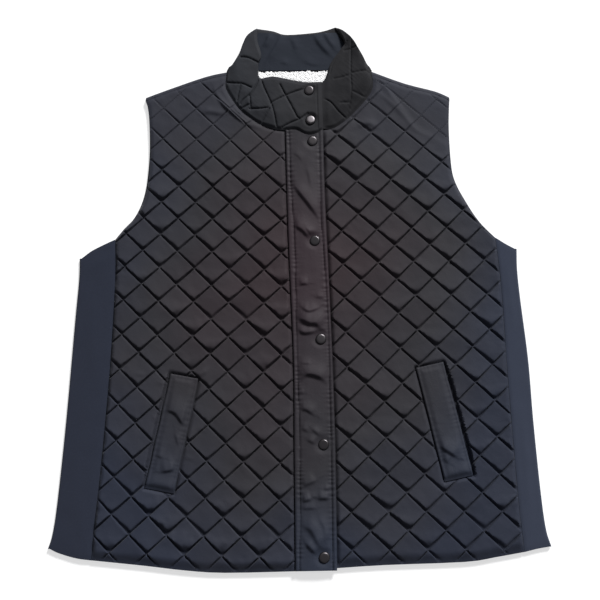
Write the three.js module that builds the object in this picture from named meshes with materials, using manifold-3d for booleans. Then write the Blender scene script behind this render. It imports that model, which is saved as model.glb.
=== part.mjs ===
// A quilted vest with a stand collar, laid flat with its front up and snapped shut.
// Millimetres. +X is the wearer's left, +Y runs from hem to collar, +Z is up, and the back rests on z = 0.
// The wearer's right front is therefore on the -X side.

import * as THREE from 'three';
import * as BufferGeometryUtils from 'three/addons/utils/BufferGeometryUtils.js';
import Module from 'manifold-3d';

const wasm = await Module();
wasm.setup();

// Cloth thicknesses and the levels at which the layers lie
const SEAM_GAP = 0.3;
const BACK_THICK = 4.5;
const KNIT_WALL = 2.4;
const SIDE_FOLD_RADIUS = 3.2;
const STITCH_THICK = 2.6;
const QUILT_CROWN = 3.8;
const EDGE_THICK = 2.0;
const PLAIN_THICK = 2.4;
const FRONT_LOW = BACK_THICK + SEAM_GAP;
const STITCH_TOP = FRONT_LOW + STITCH_THICK;
const PLACKET_LOW = STITCH_TOP + SEAM_GAP;

// Soft edges: how far in from an edge a quilted panel reaches its full height
const EDGE_ROUND = 15;

// Points of an outline nearer than this are one, and so are corners of a mesh nearer than the second
const JOIN_DISTANCE = 0.5;
const MERGE_DISTANCE = 1e-4;

// The back rolls forward over each shoulder, and shows a little outside the fronts at the armholes
const SHOULDER_ROLL = 7;
const ROLL_COLUMNS = 4;
const ROLL_ROWS = 10;
const ROLL_FROM_TURN = 0.15;
const ROLL_TO_TURN = 0.5;
const ROLL_LOW = BACK_THICK / 3;
const ARMHOLE_INSET = 2.2;
const TIP_CLEARANCE = 1;

// Quilting: 2-inch diamonds, half of one across (a) and up (b) on each front, from a crossing near its top
const QUILT_RIGHT = { x: -77.6, y: 189.8, acrossX: 25.15, acrossY: -0.5, upX: 0, upY: 25.05 };
const QUILT_LEFT = { x: 134.8, y: 201.5, acrossX: 25.5, acrossY: 0.55, upX: -0.6, upY: 25.25 };
const QUILT_CELLS = { uFrom: -17, uTo: 6, vFrom: -15, vTo: 8 };
const QUILT_STEPS = 3;
const COLLAR_DIAMOND = 25.4;

// Side folds and side seams, from hem to armhole
const SIDE_FOLD_RIGHT = [
  { x: -339, y: -375 }, { x: -334, y: -355 }, { x: -330, y: -310 }, { x: -325, y: -200 },
  { x: -321, y: -60 }, { x: -319, y: 0 }, { x: -320, y: 32 },
];
const SIDE_FOLD_LEFT = [
  { x: 339, y: -372 }, { x: 333, y: -348 }, { x: 329, y: -297 }, { x: 325, y: -202 },
  { x: 323, y: -117 }, { x: 317, y: -29 }, { x: 315, y: 15 }, { x: 316, y: 47 },
];
const SIDE_SEAM_RIGHT = [
  { x: -279, y: -390 }, { x: -278, y: -350 }, { x: -274, y: -290 }, { x: -270, y: -205 },
  { x: -267, y: -120 }, { x: -266, y: 0 }, { x: -269, y: 61 },
];
const SIDE_SEAM_LEFT = [
  { x: 302, y: -379 }, { x: 298, y: -321 }, { x: 295, y: -235 }, { x: 292, y: -131 },
  { x: 291, y: -48 }, { x: 289, y: 11 }, { x: 285, y: 64 },
];

// Hem, from each side seam to the placket and from each side fold to the side seam
const HEM_RIGHT = [
  { x: -279, y: -390 }, { x: -207, y: -397 }, { x: -153, y: -403 },
  { x: -100, y: -406 }, { x: -6, y: -404 },
];
const HEM_LEFT = [
  { x: 302, y: -379 }, { x: 262, y: -386 }, { x: 221, y: -392 }, { x: 114, y: -396 }, { x: 50, y: -400 },
];
const HEM_SIDE_RIGHT = [
  { x: -279, y: -390 }, { x: -303, y: -387 }, { x: -329, y: -380 }, { x: -339, y: -375 },
];
const HEM_SIDE_LEFT = [{ x: 302, y: -379 }, { x: 320, y: -375 }, { x: 339, y: -372 }];

// Armholes, from the side seam up to the shoulder tip and from the side fold up to the side seam
const ARMHOLE_RIGHT = [
  { x: -269, y: 61 }, { x: -257, y: 78 }, { x: -246, y: 91 }, { x: -237, y: 108 }, { x: -231, y: 126 },
  { x: -227, y: 150 }, { x: -225, y: 190 }, { x: -226, y: 225 }, { x: -229, y: 262 }, { x: -234, y: 288 },
];
const ARMHOLE_LEFT = [
  { x: 285, y: 64 }, { x: 268, y: 83 }, { x: 255, y: 103 }, { x: 242, y: 127 }, { x: 233, y: 146 },
  { x: 227, y: 168 }, { x: 225, y: 205 }, { x: 225, y: 245 }, { x: 227, y: 289 },
];
const ARMHOLE_SIDE_RIGHT = [{ x: -320, y: 32 }, { x: -308, y: 43 }, { x: -290, y: 52 }, { x: -269, y: 61 }];
const ARMHOLE_SIDE_LEFT = [{ x: 316, y: 47 }, { x: 299, y: 55 }, { x: 285, y: 64 }];

// Shoulder folds, from the tip to the collar
const SHOULDER_RIGHT = [{ x: -234, y: 288 }, { x: -205, y: 300 }, { x: -145, y: 323 }, { x: -112, y: 331 }];
const SHOULDER_LEFT = [{ x: 227, y: 289 }, { x: 206, y: 299 }, { x: 160, y: 312 }, { x: 110, y: 332 }];

// Front neck seam, from the right shoulder round to the left one; it dips where a snap pulls the placket up
const NECK_SEAM_RIGHT = [
  { x: -112, y: 324 }, { x: -113, y: 305 }, { x: -106, y: 289 }, { x: -90, y: 266 }, { x: -72, y: 251 },
  { x: -55, y: 240 }, { x: -38, y: 234 }, { x: -22, y: 232 },
];
const NECK_SEAM_PLACKET = [
  { x: -22, y: 232 }, { x: -5, y: 232 }, { x: 8, y: 225 }, { x: 22, y: 225 }, { x: 35, y: 233 },
];
const NECK_SEAM_LEFT = [
  { x: 35, y: 233 }, { x: 52, y: 237 }, { x: 71, y: 251 }, { x: 89, y: 270 }, { x: 102, y: 286 },
  { x: 111, y: 304 }, { x: 110, y: 325 },
];
const NECK_SEAM_BACK = [
  { x: 110, y: 332 }, { x: 55, y: 329 }, { x: 0, y: 328 }, { x: -60, y: 327 }, { x: -112, y: 331 },
];

// Placket edges, from hem to neck seam
const PLACKET_RIGHT = [
  { x: -6, y: -404 }, { x: -8, y: -240 }, { x: -9, y: -125 },
  { x: -14, y: -8 }, { x: -18, y: 85 }, { x: -22, y: 232 },
];
const PLACKET_LEFT = [
  { x: 50, y: -403 }, { x: 49, y: -240 }, { x: 46, y: -113 },
  { x: 42, y: 0 }, { x: 37, y: 130 }, { x: 35, y: 233 },
];
const PLACKET_CENTRE_X = 18;
const UNDERLAP = 50;
const UNDERLAP_NECK_X = -8;
const LAP_PAST = 20;
const PLACKET_PUFF = 1.2;
const PLACKET_COLUMNS = 6;
const PLACKET_ROWS = 54;

// How far a solid reaches past the outline that it is cut to
const CUT_MARGIN = 1.5;

// Placket folds: soft ridges across the band, each at a height (y), with its slant, width and rise
const PLACKET_FOLDS = [
  { y: 166, slant: -0.85, width: 9, rise: 1.6 },
  { y: 72, slant: -0.5, width: 8, rise: 1.8 },
  { y: -22, slant: 0.3, width: 8, rise: 1.4 },
  { y: -76, slant: -0.35, width: 10, rise: 2.4 },
  { y: -144, slant: 0.05, width: 9, rise: 1.6 },
  { y: -196, slant: -0.5, width: 8, rise: 1.2 },
  { y: -222, slant: -0.6, width: 8, rise: 1.6 },
  { y: -300, slant: -0.2, width: 9, rise: 1.2 },
  { y: -362, slant: -0.9, width: 9, rise: 1.6 },
];

// Pocket welts: top and bottom ends of the centre line, and how far the band bulges
const WELT_WIDTH = 40;
const WELT_BULGE = 1.6;
const WELT_SAG = 0.35;
const WELT_WAVES = 2.5;
const WELT_COLUMNS = 4;
const WELT_ROWS = 10;
const WELTS = [
  { name: 'pocket_welt_right', topX: -161.5, topY: -141, bottomX: -191, bottomY: -298.5 },
  { name: 'pocket_welt_left', topX: 182.5, topY: -125, bottomX: 217.5, bottomY: -282 },
];

// Collar outlines: folded sides, top edge at the back, and the top edge of each front half
const COLLAR_FOLD_RIGHT = [
  { x: -112, y: 331 }, { x: -103, y: 344 }, { x: -93, y: 362 },
  { x: -88, y: 378 }, { x: -81, y: 393 }, { x: -66, y: 405 },
];
const COLLAR_FOLD_LEFT = [
  { x: 110, y: 332 }, { x: 101, y: 345 }, { x: 90, y: 365 },
  { x: 79, y: 385 }, { x: 66, y: 401 }, { x: 54, y: 407 },
];
const COLLAR_BACK_TOP = [
  { x: 54, y: 407 }, { x: 40, y: 402 }, { x: 20, y: 398 },
  { x: -22, y: 395 }, { x: -42, y: 401 }, { x: -66, y: 405 },
];
const COLLAR_TOP_RIGHT = [
  { x: 33, y: 310 }, { x: 5, y: 310 }, { x: -40, y: 319 },
  { x: -61, y: 318 }, { x: -63, y: 342 }, { x: -59, y: 356 },
  { x: -65, y: 380 }, { x: -66, y: 405 },
];
const COLLAR_TOP_LEFT = [
  { x: -12, y: 300 }, { x: 14, y: 300 }, { x: 35, y: 305 },
  { x: 42, y: 326 }, { x: 47, y: 342 }, { x: 63, y: 366 },
  { x: 68, y: 378 }, { x: 54, y: 407 },
];
const COLLAR_LEFT_END = [{ x: -12, y: 238 }, { x: 12, y: 238 }, { x: 32, y: 236 }];
const COLLAR_LENGTH = 182;
const COLLAR_HEIGHT = 72;
const COLLAR_RISE = 3.4;
const COLLAR_RISE_WIDTH = 25;
const COLLAR_FOLD_WIDTH = 7;
const COLLAR_FOLD_Y = 342;
const COLLAR_CROWN = 2.6;
const COLLAR_EDGE_FROM = -2;
const COLLAR_EDGE_TO = 9;
const COLLAR_COLUMNS = 22;
const COLLAR_ROWS = 8;
const COLLAR_LAP_X = 40;
const COLLAR_TOP_LEVEL = 30;
const FLAP_LIFT = PLAIN_THICK + SEAM_GAP;
const FLAP_LIFT_FROM = -72;
const FLAP_LIFT_TO = -30;

// Plain inner face of the collar and the pile lining, as far as they show in the neck opening
const COLLAR_LINING = [
  { x: -84, y: 332 }, { x: 88, y: 333.5 }, { x: 82, y: 352 },
  { x: 70, y: 376 }, { x: 56, y: 397 }, { x: 38, y: 397 },
  { x: 20, y: 394 }, { x: -22, y: 391 }, { x: -42, y: 396 },
  { x: -64, y: 397 }, { x: -76, y: 375 }, { x: -84, y: 352 },
];
const COLLAR_LINING_THICK = 1.4;
const BACK_LINING = [
  { x: -72, y: 296 }, { x: 56, y: 296 }, { x: 58, y: 328.5 }, { x: 0, y: 328 }, { x: -74, y: 327 },
];
const BACK_LINING_THICK = 3;

// Knit side panels: how far they stand above the fronts' edges, and the sections along and round them
const KNIT_PROUD = 0.2;
const KNIT_LINE_STEPS = 4;
const KNIT_FLAT_COLUMNS = 2;
const KNIT_TURN_COLUMNS = 4;
const KNIT_ROWS = 12;

// Snap caps, from the collar down; the profile runs from the cap's underside to its top
const SNAP_RADIUS = 7.5;
const SNAP_PROFILE = [
  { radius: 0, height: 0 },
  { radius: 7, height: 0 },
  { radius: SNAP_RADIUS, height: 0.8 },
  { radius: 6.3, height: 2 },
  { radius: 3.5, height: 2.5 },
  { radius: 0, height: 2.6 },
];
const SNAP_SIDES = 14;
const SNAP_SEAT = 0.4;
const SEAT_CLEARANCE = 1;
const SEAT_HEIGHT = 12;
const SEAT_SIDES = 16;
const SNAPS = [
  { name: 'snap_1', x: 14, y: 295 },
  { name: 'snap_2', x: 16, y: 247 },
  { name: 'snap_3', x: 19, y: 214 },
  { name: 'snap_4', x: 22, y: 58 },
  { name: 'snap_5', x: 30, y: -88 },
  { name: 'snap_6', x: 33, y: -236 },
  { name: 'snap_7', x: 33, y: -386 },
];

// Finishes
const QUILTED = new THREE.MeshStandardMaterial({ color: 0x36363b, roughness: 0.45 });
const PLAIN = new THREE.MeshStandardMaterial({ color: 0x333338, roughness: 0.42 });
const KNIT = new THREE.MeshStandardMaterial({ color: 0x2f3542, roughness: 0.95 });
const COLLAR_FACE = new THREE.MeshStandardMaterial({ color: 0x303233, roughness: 0.6 });
const COLLAR_INSIDE = new THREE.MeshStandardMaterial({ color: 0x2f3540, roughness: 0.7 });
const PILE = new THREE.MeshStandardMaterial({ color: 0xf7f6f3, roughness: 1 });
const GUNMETAL = new THREE.MeshStandardMaterial({ color: 0x4a4b48, roughness: 0.35, metalness: 0.9 });

// Small curve helpers
const SMOOTH_STEPS = 3;

function smoothLine(table, steps = SMOOTH_STEPS) {
  const curve = new THREE.SplineCurve(table.map((p) => new THREE.Vector2(p.x, p.y)));
  return curve.getPoints(steps * (table.length - 1));
}

function straightLine(table) {
  return table.map((p) => new THREE.Vector2(p.x, p.y));
}

function reversed(line) {
  return [...line].reverse();
}

function joined(...lines) {
  const outline = [];
  for (const point of lines.flat()) {
    const last = outline[outline.length - 1];
    if (!last || last.distanceTo(point) > JOIN_DISTANCE) {
      outline.push(point);
    }
  }
  if (outline[0].distanceTo(outline[outline.length - 1]) < JOIN_DISTANCE) {
    outline.pop();
  }
  return outline;
}

function moved(line, dx, dy) {
  return line.map((p) => new THREE.Vector2(p.x + dx, p.y + dy));
}

function smoothStep(from, to, value) {
  return THREE.MathUtils.smoothstep(value, from, to);
}

// x of a line at a height y, for lines that run from hem to armhole
function xAt(line, y) {
  for (let i = 1; i < line.length; i += 1) {
    if (y <= line[i].y) {
      const part = (y - line[i - 1].y) / (line[i].y - line[i - 1].y);
      return THREE.MathUtils.lerp(line[i - 1].x, line[i].x, part);
    }
  }
  return line[line.length - 1].x;
}

// Point at a share of a line's length
function pointAlong(line, share) {
  const lengths = [0];
  for (let i = 1; i < line.length; i += 1) {
    lengths.push(lengths[i - 1] + line[i].distanceTo(line[i - 1]));
  }
  const target = THREE.MathUtils.clamp(share, 0, 1) * lengths[lengths.length - 1];
  let i = 1;
  while (i < line.length - 1 && lengths[i] < target) {
    i += 1;
  }
  const part = (target - lengths[i - 1]) / (lengths[i] - lengths[i - 1]);
  return line[i - 1].clone().lerp(line[i], part);
}

// Closed solid of a geometry, with its shared corners merged and the triangles that this flattens left out
function toSolid(geometry) {
  const bare = geometry.clone();
  bare.deleteAttribute('normal');
  bare.deleteAttribute('uv');
  const merged = BufferGeometryUtils.mergeVertices(bare, MERGE_DISTANCE);
  const corners = merged.index.array;
  const kept = [];
  for (let i = 0; i < corners.length; i += 3) {
    const [a, b, c] = corners.slice(i, i + 3);
    if (a !== b && b !== c && c !== a) {
      kept.push(a, b, c);
    }
  }
  return new wasm.Manifold(new wasm.Mesh({
    numProp: 3,
    vertProperties: new Float32Array(merged.attributes.position.array),
    triVerts: new Uint32Array(kept),
  }));
}

function toGeometry(solid) {
  const mesh = solid.getMesh();
  const geometry = new THREE.BufferGeometry();
  geometry.setAttribute('position', new THREE.BufferAttribute(mesh.vertProperties, 3));
  geometry.setIndex(new THREE.BufferAttribute(mesh.triVerts, 1));
  geometry.computeVertexNormals();
  return geometry;
}

// Upright block of an outline; half a seam gap is taken off all round
function block(outline, low, high) {
  const geometry = new THREE.ExtrudeGeometry(new THREE.Shape(outline), {
    depth: high - low,
    bevelEnabled: true,
    bevelThickness: 0,
    bevelSize: 0,
    bevelOffset: -SEAM_GAP / 2,
    bevelSegments: 1,
  });
  return toSolid(geometry.translate(0, 0, low));
}

// Shortest distance from a point to an outline
function distanceTo(outline, x, y) {
  let nearest = Infinity;
  outline.forEach((from, i) => {
    const to = outline[(i + 1) % outline.length];
    const along = (x - from.x) * (to.x - from.x) + (y - from.y) * (to.y - from.y);
    const part = THREE.MathUtils.clamp(along / from.distanceToSquared(to), 0, 1);
    const dx = from.x + part * (to.x - from.x) - x;
    const dy = from.y + part * (to.y - from.y) - y;
    nearest = Math.min(nearest, Math.hypot(dx, dy));
  });
  return nearest;
}

// Closed solid from a grid of columns and rows; pointAt gives x, y, low and high at a share across and along
function gridSolid(columns, rows, pointAt) {
  const positions = [];
  const index = [];
  const count = (columns + 1) * (rows + 1);
  for (const side of ['high', 'low']) {
    for (let row = 0; row <= rows; row += 1) {
      for (let column = 0; column <= columns; column += 1) {
        const point = pointAt(column / columns, row / rows);
        positions.push(point.x, point.y, point[side]);
      }
    }
  }
  const at = (column, row) => row * (columns + 1) + column;
  const quad = (a, b, c, d) => index.push(a, b, c, a, c, d);
  for (let row = 0; row < rows; row += 1) {
    for (let column = 0; column < columns; column += 1) {
      const corners = [at(column, row), at(column + 1, row), at(column + 1, row + 1), at(column, row + 1)];
      quad(...corners);
      quad(...reversed(corners).map((i) => i + count));
    }
  }
  const rim = [];
  for (let column = 0; column < columns; column += 1) rim.push(at(column, 0));
  for (let row = 0; row < rows; row += 1) rim.push(at(columns, row));
  for (let column = columns; column > 0; column -= 1) rim.push(at(column, rows));
  for (let row = rows; row > 0; row -= 1) rim.push(at(0, row));
  rim.forEach((from, i) => {
    const to = rim[(i + 1) % rim.length];
    quad(from, from + count, to + count, to);
  });
  return toSolid(outwards(positions, index));
}

// A geometry whose faces point out, whichever way its grid was turned
function outwards(positions, index) {
  let volume = 0;
  const corner = (i) => new THREE.Vector3().fromArray(positions, 3 * i);
  for (let i = 0; i < index.length; i += 3) {
    volume += corner(index[i]).dot(corner(index[i + 1]).cross(corner(index[i + 2])));
  }
  const geometry = new THREE.BufferGeometry();
  geometry.setAttribute('position', new THREE.Float32BufferAttribute(positions, 3));
  geometry.setIndex(volume < 0 ? reversed(index) : index);
  return geometry;
}

// Quilted slab: pillows between stitch lines at whole u and v, plain underneath, thinner towards the outline
function quiltedSlab(lattice, outline, low) {
  const { uFrom, uTo, vFrom, vTo } = QUILT_CELLS;
  const columns = (uTo - uFrom) * QUILT_STEPS;
  const rows = (vTo - vFrom) * QUILT_STEPS;
  const positions = [];
  const index = [];
  for (let row = 0; row <= rows; row += 1) {
    for (let column = 0; column <= columns; column += 1) {
      const u = uFrom + column / QUILT_STEPS;
      const v = vFrom + row / QUILT_STEPS;
      const a = u - v;
      const b = u + v;
      const onStitch = column % QUILT_STEPS === 0 || row % QUILT_STEPS === 0;
      const x = lattice.x + a * lattice.acrossX + b * lattice.upX;
      const y = lattice.y + a * lattice.acrossY + b * lattice.upY;
      const full = smoothStep(0, EDGE_ROUND, distanceTo(outline, x, y));
      const thick = onStitch ? STITCH_THICK : STITCH_THICK + QUILT_CROWN;
      positions.push(x, y, low + THREE.MathUtils.lerp(EDGE_THICK, thick, full));
    }
  }
  const at = (column, row) => row * (columns + 1) + column;
  for (let row = 0; row < rows; row += 1) {
    for (let column = 0; column < columns; column += 1) {
      index.push(at(column, row), at(column + 1, row), at(column + 1, row + 1));
      index.push(at(column, row), at(column + 1, row + 1), at(column, row + 1));
    }
  }
  const corners = [at(0, 0), at(columns, 0), at(columns, rows), at(0, rows)];
  const under = corners.map((top) => {
    positions.push(positions[3 * top], positions[3 * top + 1], low);
    return positions.length / 3 - 1;
  });
  index.push(under[0], under[2], under[1], under[0], under[3], under[2]);
  const wall = (tops, start, end) => {
    for (let i = 1; i < tops.length; i += 1) {
      index.push(start, tops[i], tops[i - 1]);
    }
    index.push(start, end, tops[tops.length - 1]);
  };
  const range = (length, pick) => Array.from({ length }, (_, i) => pick(i));
  wall(range(columns + 1, (i) => at(i, 0)), under[0], under[1]);
  wall(range(rows + 1, (i) => at(columns, i)), under[1], under[2]);
  wall(range(columns + 1, (i) => at(columns - i, rows)), under[2], under[3]);
  wall(range(rows + 1, (i) => at(0, rows - i)), under[3], under[0]);
  return toSolid(outwards(positions, index));
}

// Welt outline: a straight band across the panel, square at its ends, or grown by a margin
function weltFrame(welt) {
  const top = new THREE.Vector2(welt.topX, welt.topY);
  const bottom = new THREE.Vector2(welt.bottomX, welt.bottomY);
  const down = bottom.clone().sub(top).normalize();
  const across = new THREE.Vector2(-down.y, down.x);
  return { top, bottom, down, across };
}

function weltOutline(welt, margin) {
  const { top, bottom, down, across } = weltFrame(welt);
  const half = WELT_WIDTH / 2 + margin;
  const start = top.clone().addScaledVector(down, -margin);
  const end = bottom.clone().addScaledVector(down, margin);
  return [
    start.clone().addScaledVector(across, -half),
    end.clone().addScaledVector(across, -half),
    end.clone().addScaledVector(across, half),
    start.clone().addScaledVector(across, half),
  ];
}

// Front panels
function frontOutline(side) {
  const right = side === 'right';
  const inward = right ? 1 : -1;
  const hem = smoothLine(right ? HEM_RIGHT : HEM_LEFT);
  const seam = smoothLine(right ? SIDE_SEAM_RIGHT : SIDE_SEAM_LEFT);
  const shoulder = moved(smoothLine(right ? SHOULDER_RIGHT : SHOULDER_LEFT), 0, -SHOULDER_ROLL);
  const wholeArmhole = smoothLine(right ? ARMHOLE_RIGHT : ARMHOLE_LEFT);
  const armhole = wholeArmhole.filter((p) => p.y < shoulder[0].y - TIP_CLEARANCE).map((p, i, line) => {
    const inset = ARMHOLE_INSET * Math.sin(Math.PI * (i / (line.length - 1)));
    return new THREE.Vector2(p.x + inward * inset, p.y);
  });
  const neck = smoothLine(right ? NECK_SEAM_RIGHT : NECK_SEAM_LEFT);
  const centre = right ? smoothLine(PLACKET_RIGHT) : moved(smoothLine(PLACKET_LEFT), -UNDERLAP, 0);
  const placketNeck = right ? [] : reversed(smoothLine(NECK_SEAM_PLACKET)).filter((p) => p.x > UNDERLAP_NECK_X);
  const opposite = right ? neck : reversed(neck);
  return joined(reversed(hem), seam, armhole, shoulder, opposite, placketNeck, reversed(centre));
}

// Where the placket covers the left front, which is plain there, with room past both ends
function lapZone() {
  const edge = moved(smoothLine(PLACKET_LEFT), 2 * SEAM_GAP, 0);
  const bottom = edge[0];
  const top = edge[edge.length - 1];
  return [
    new THREE.Vector2(bottom.x - 2 * UNDERLAP, bottom.y - LAP_PAST),
    new THREE.Vector2(bottom.x, bottom.y - LAP_PAST),
    ...edge,
    new THREE.Vector2(top.x, top.y + LAP_PAST),
    new THREE.Vector2(bottom.x - 2 * UNDERLAP, top.y + LAP_PAST),
  ];
}

function frontPanel(side) {
  const lattice = side === 'right' ? QUILT_RIGHT : QUILT_LEFT;
  const welt = WELTS[side === 'right' ? 0 : 1];
  const outline = frontOutline(side);
  const slab = quiltedSlab(lattice, outline, FRONT_LOW);
  let panel = slab.intersect(block(outline, FRONT_LOW - CUT_MARGIN, STITCH_TOP + 2 * QUILT_CROWN));
  panel = panel.subtract(block(weltOutline(welt, SEAM_GAP), STITCH_TOP, STITCH_TOP + 2 * QUILT_CROWN));
  if (side === 'left') {
    panel = panel.subtract(block(lapZone(), STITCH_TOP, STITCH_TOP + 2 * QUILT_CROWN));
  }
  return panel;
}

// Back: flat, with its upper edge rolled forward over each shoulder
function backPanel() {
  const outline = joined(
    smoothLine(SIDE_SEAM_RIGHT),
    smoothLine(ARMHOLE_RIGHT),
    smoothLine(SHOULDER_RIGHT),
    reversed(smoothLine(NECK_SEAM_BACK)),
    reversed(smoothLine(SHOULDER_LEFT)),
    reversed(smoothLine(ARMHOLE_LEFT)),
    reversed(smoothLine(SIDE_SEAM_LEFT)),
    smoothLine(HEM_LEFT),
    reversed(smoothLine(HEM_RIGHT)),
  );
  let panel = block(outline, 0, BACK_THICK);
  const cutter = block(outline, ROLL_LOW, STITCH_TOP);
  for (const shoulder of [smoothLine(SHOULDER_RIGHT), smoothLine(SHOULDER_LEFT)]) {
    const roll = gridSolid(ROLL_COLUMNS, ROLL_ROWS, (across, along) => {
      const point = pointAlong(shoulder, along);
      const inwards = across * (SHOULDER_ROLL - SEAM_GAP / 2);
      const turn = THREE.MathUtils.lerp(ROLL_FROM_TURN, ROLL_TO_TURN, across);
      const rise = (FRONT_LOW + EDGE_THICK - BACK_THICK) * Math.sin(Math.PI * turn);
      return { x: point.x, y: point.y - inwards, low: BACK_THICK / 2, high: BACK_THICK + rise };
    });
    panel = panel.add(roll.intersect(cutter));
  }
  return panel;
}

// Knit side panels: one wall from the front seam round the side fold to the back seam
function sidePanel(side) {
  const right = side === 'right';
  const seam = smoothLine(right ? SIDE_SEAM_RIGHT : SIDE_SEAM_LEFT, KNIT_LINE_STEPS);
  const fold = smoothLine(right ? SIDE_FOLD_RIGHT : SIDE_FOLD_LEFT, KNIT_LINE_STEPS);
  const hem = smoothLine(right ? HEM_SIDE_RIGHT : HEM_SIDE_LEFT);
  const armhole = smoothLine(right ? ARMHOLE_SIDE_RIGHT : ARMHOLE_SIDE_LEFT);
  const outward = right ? -1 : 1;
  const topAtSeam = FRONT_LOW + EDGE_THICK + KNIT_PROUD;
  const ring = [];
  for (let i = 0; i <= KNIT_FLAT_COLUMNS; i += 1) {
    const share = i / KNIT_FLAT_COLUMNS;
    const top = THREE.MathUtils.lerp(topAtSeam, 2 * SIDE_FOLD_RADIUS, share);
    ring.push({ share, out: 0, z: top, innerOut: 0, innerZ: top - KNIT_WALL });
  }
  for (let i = 1; i < KNIT_TURN_COLUMNS; i += 1) {
    const angle = Math.PI * (0.5 - i / KNIT_TURN_COLUMNS);
    const innerRadius = SIDE_FOLD_RADIUS - KNIT_WALL;
    ring.push({
      share: 1,
      out: SIDE_FOLD_RADIUS * Math.cos(angle),
      z: SIDE_FOLD_RADIUS + SIDE_FOLD_RADIUS * Math.sin(angle),
      innerOut: innerRadius * Math.cos(angle),
      innerZ: SIDE_FOLD_RADIUS + innerRadius * Math.sin(angle),
    });
  }
  for (let i = KNIT_FLAT_COLUMNS; i >= 0; i -= 1) {
    ring.push({ share: i / KNIT_FLAT_COLUMNS, out: 0, z: 0, innerOut: 0, innerZ: KNIT_WALL });
  }
  const loop = [
    ...ring.map((p) => ({ share: p.share, out: p.out, z: p.z })),
    ...reversed(ring).map((p) => ({ share: p.share, out: p.innerOut, z: p.innerZ })),
  ];
  const positions = [];
  for (let row = 0; row <= KNIT_ROWS; row += 1) {
    for (const point of loop) {
      const low = pointAlong(hem, point.share).y;
      const high = pointAlong(armhole, 1 - point.share).y;
      const y = THREE.MathUtils.lerp(low, high, row / KNIT_ROWS);
      const from = xAt(seam, y) + outward * SEAM_GAP;
      const to = xAt(fold, y) - outward * SIDE_FOLD_RADIUS;
      positions.push(THREE.MathUtils.lerp(from, to, point.share) + outward * point.out, y, point.z);
    }
  }
  const index = [];
  const size = loop.length;
  for (let row = 0; row < KNIT_ROWS; row += 1) {
    for (let i = 0; i < size; i += 1) {
      const next = (i + 1) % size;
      const base = row * size;
      index.push(base + i, base + next, base + size + next, base + i, base + size + next, base + size + i);
    }
  }
  for (let i = 0; i < ring.length - 1; i += 1) {
    const inner = size - 1 - i;
    const end = KNIT_ROWS * size;
    index.push(i, inner, inner - 1, i, inner - 1, i + 1);
    index.push(end + i, end + inner - 1, end + inner, end + i, end + i + 1, end + inner - 1);
  }
  return toSolid(outwards(positions, index));
}

// Height of the placket's soft folds above its plain face
function placketFold(x, y) {
  let rise = 0;
  for (const fold of PLACKET_FOLDS) {
    const away = (y - fold.y - fold.slant * (x - PLACKET_CENTRE_X)) / fold.width;
    rise += fold.rise * Math.exp(-away * away);
  }
  return rise;
}

function snapSeat(snap, level) {
  const radius = SNAP_RADIUS + SEAT_CLEARANCE;
  const seat = new THREE.CylinderGeometry(radius, radius, SEAT_HEIGHT, SEAT_SIDES);
  return toSolid(seat.rotateX(Math.PI / 2).translate(snap.x, snap.y, level + SEAT_HEIGHT / 2));
}

// Level on which a snap cap sits, pressed into the cloth
function snapLevel(snap) {
  const height = snap.y - NECK_SEAM_PLACKET[0].y;
  const low = height < 0 ? PLACKET_LOW : FRONT_LOW + FLAP_LIFT + collarRise(height);
  return low + EDGE_THICK + SNAP_SEAT;
}

// Placket: a plain band, thin at its stitched edges and puffed between them
function placket() {
  const rightEdge = smoothLine(PLACKET_RIGHT);
  const leftEdge = smoothLine(PLACKET_LEFT);
  const neck = smoothLine(NECK_SEAM_PLACKET);
  const outline = joined(rightEdge, neck, reversed(leftEdge));
  let band = gridSolid(PLACKET_COLUMNS, PLACKET_ROWS, (across, along) => {
    const y = THREE.MathUtils.lerp(rightEdge[0].y - CUT_MARGIN, neck[0].y + CUT_MARGIN, along);
    const from = xAt(rightEdge, y) - CUT_MARGIN;
    const x = THREE.MathUtils.lerp(from, xAt(leftEdge, y) + CUT_MARGIN, across);
    const puff = Math.sin(Math.PI * across);
    const high = PLACKET_LOW + EDGE_THICK + puff * (PLACKET_PUFF + placketFold(x, y));
    return { x, y, low: PLACKET_LOW - CUT_MARGIN, high };
  });
  band = band.intersect(block(outline, PLACKET_LOW, PLACKET_LOW + 4 * PLAIN_THICK));
  for (const snap of SNAPS.slice(2)) {
    band = band.subtract(snapSeat(snap, snapLevel(snap)));
  }
  return band;
}

// Pocket welt: a plain band that bulges and sags a little
function pocketWelt(welt) {
  const { top, bottom, across } = weltFrame(welt);
  return gridSolid(WELT_COLUMNS, WELT_ROWS, (share, along) => {
    const centre = top.clone().lerp(bottom, along);
    const point = centre.addScaledVector(across, (share - 0.5) * WELT_WIDTH);
    const puff = Math.sin(Math.PI * share) * (1 + WELT_SAG * Math.sin(2 * Math.PI * WELT_WAVES * along));
    return { x: point.x, y: point.y, low: PLACKET_LOW, high: PLACKET_LOW + PLAIN_THICK + WELT_BULGE * puff };
  });
}

// Collar: how far its front halves rise from the neck seam
function collarRise(height) {
  return COLLAR_RISE * smoothStep(0, COLLAR_RISE_WIDTH, height);
}

// Pillow of the collar's quilting at a length and height along the band
function collarPillow(length, height) {
  const u = (length + height) / (2 * COLLAR_DIAMOND);
  const v = (height - length) / (2 * COLLAR_DIAMOND);
  return Math.sqrt(Math.abs(Math.sin(Math.PI * u) * Math.sin(Math.PI * v)));
}

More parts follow.
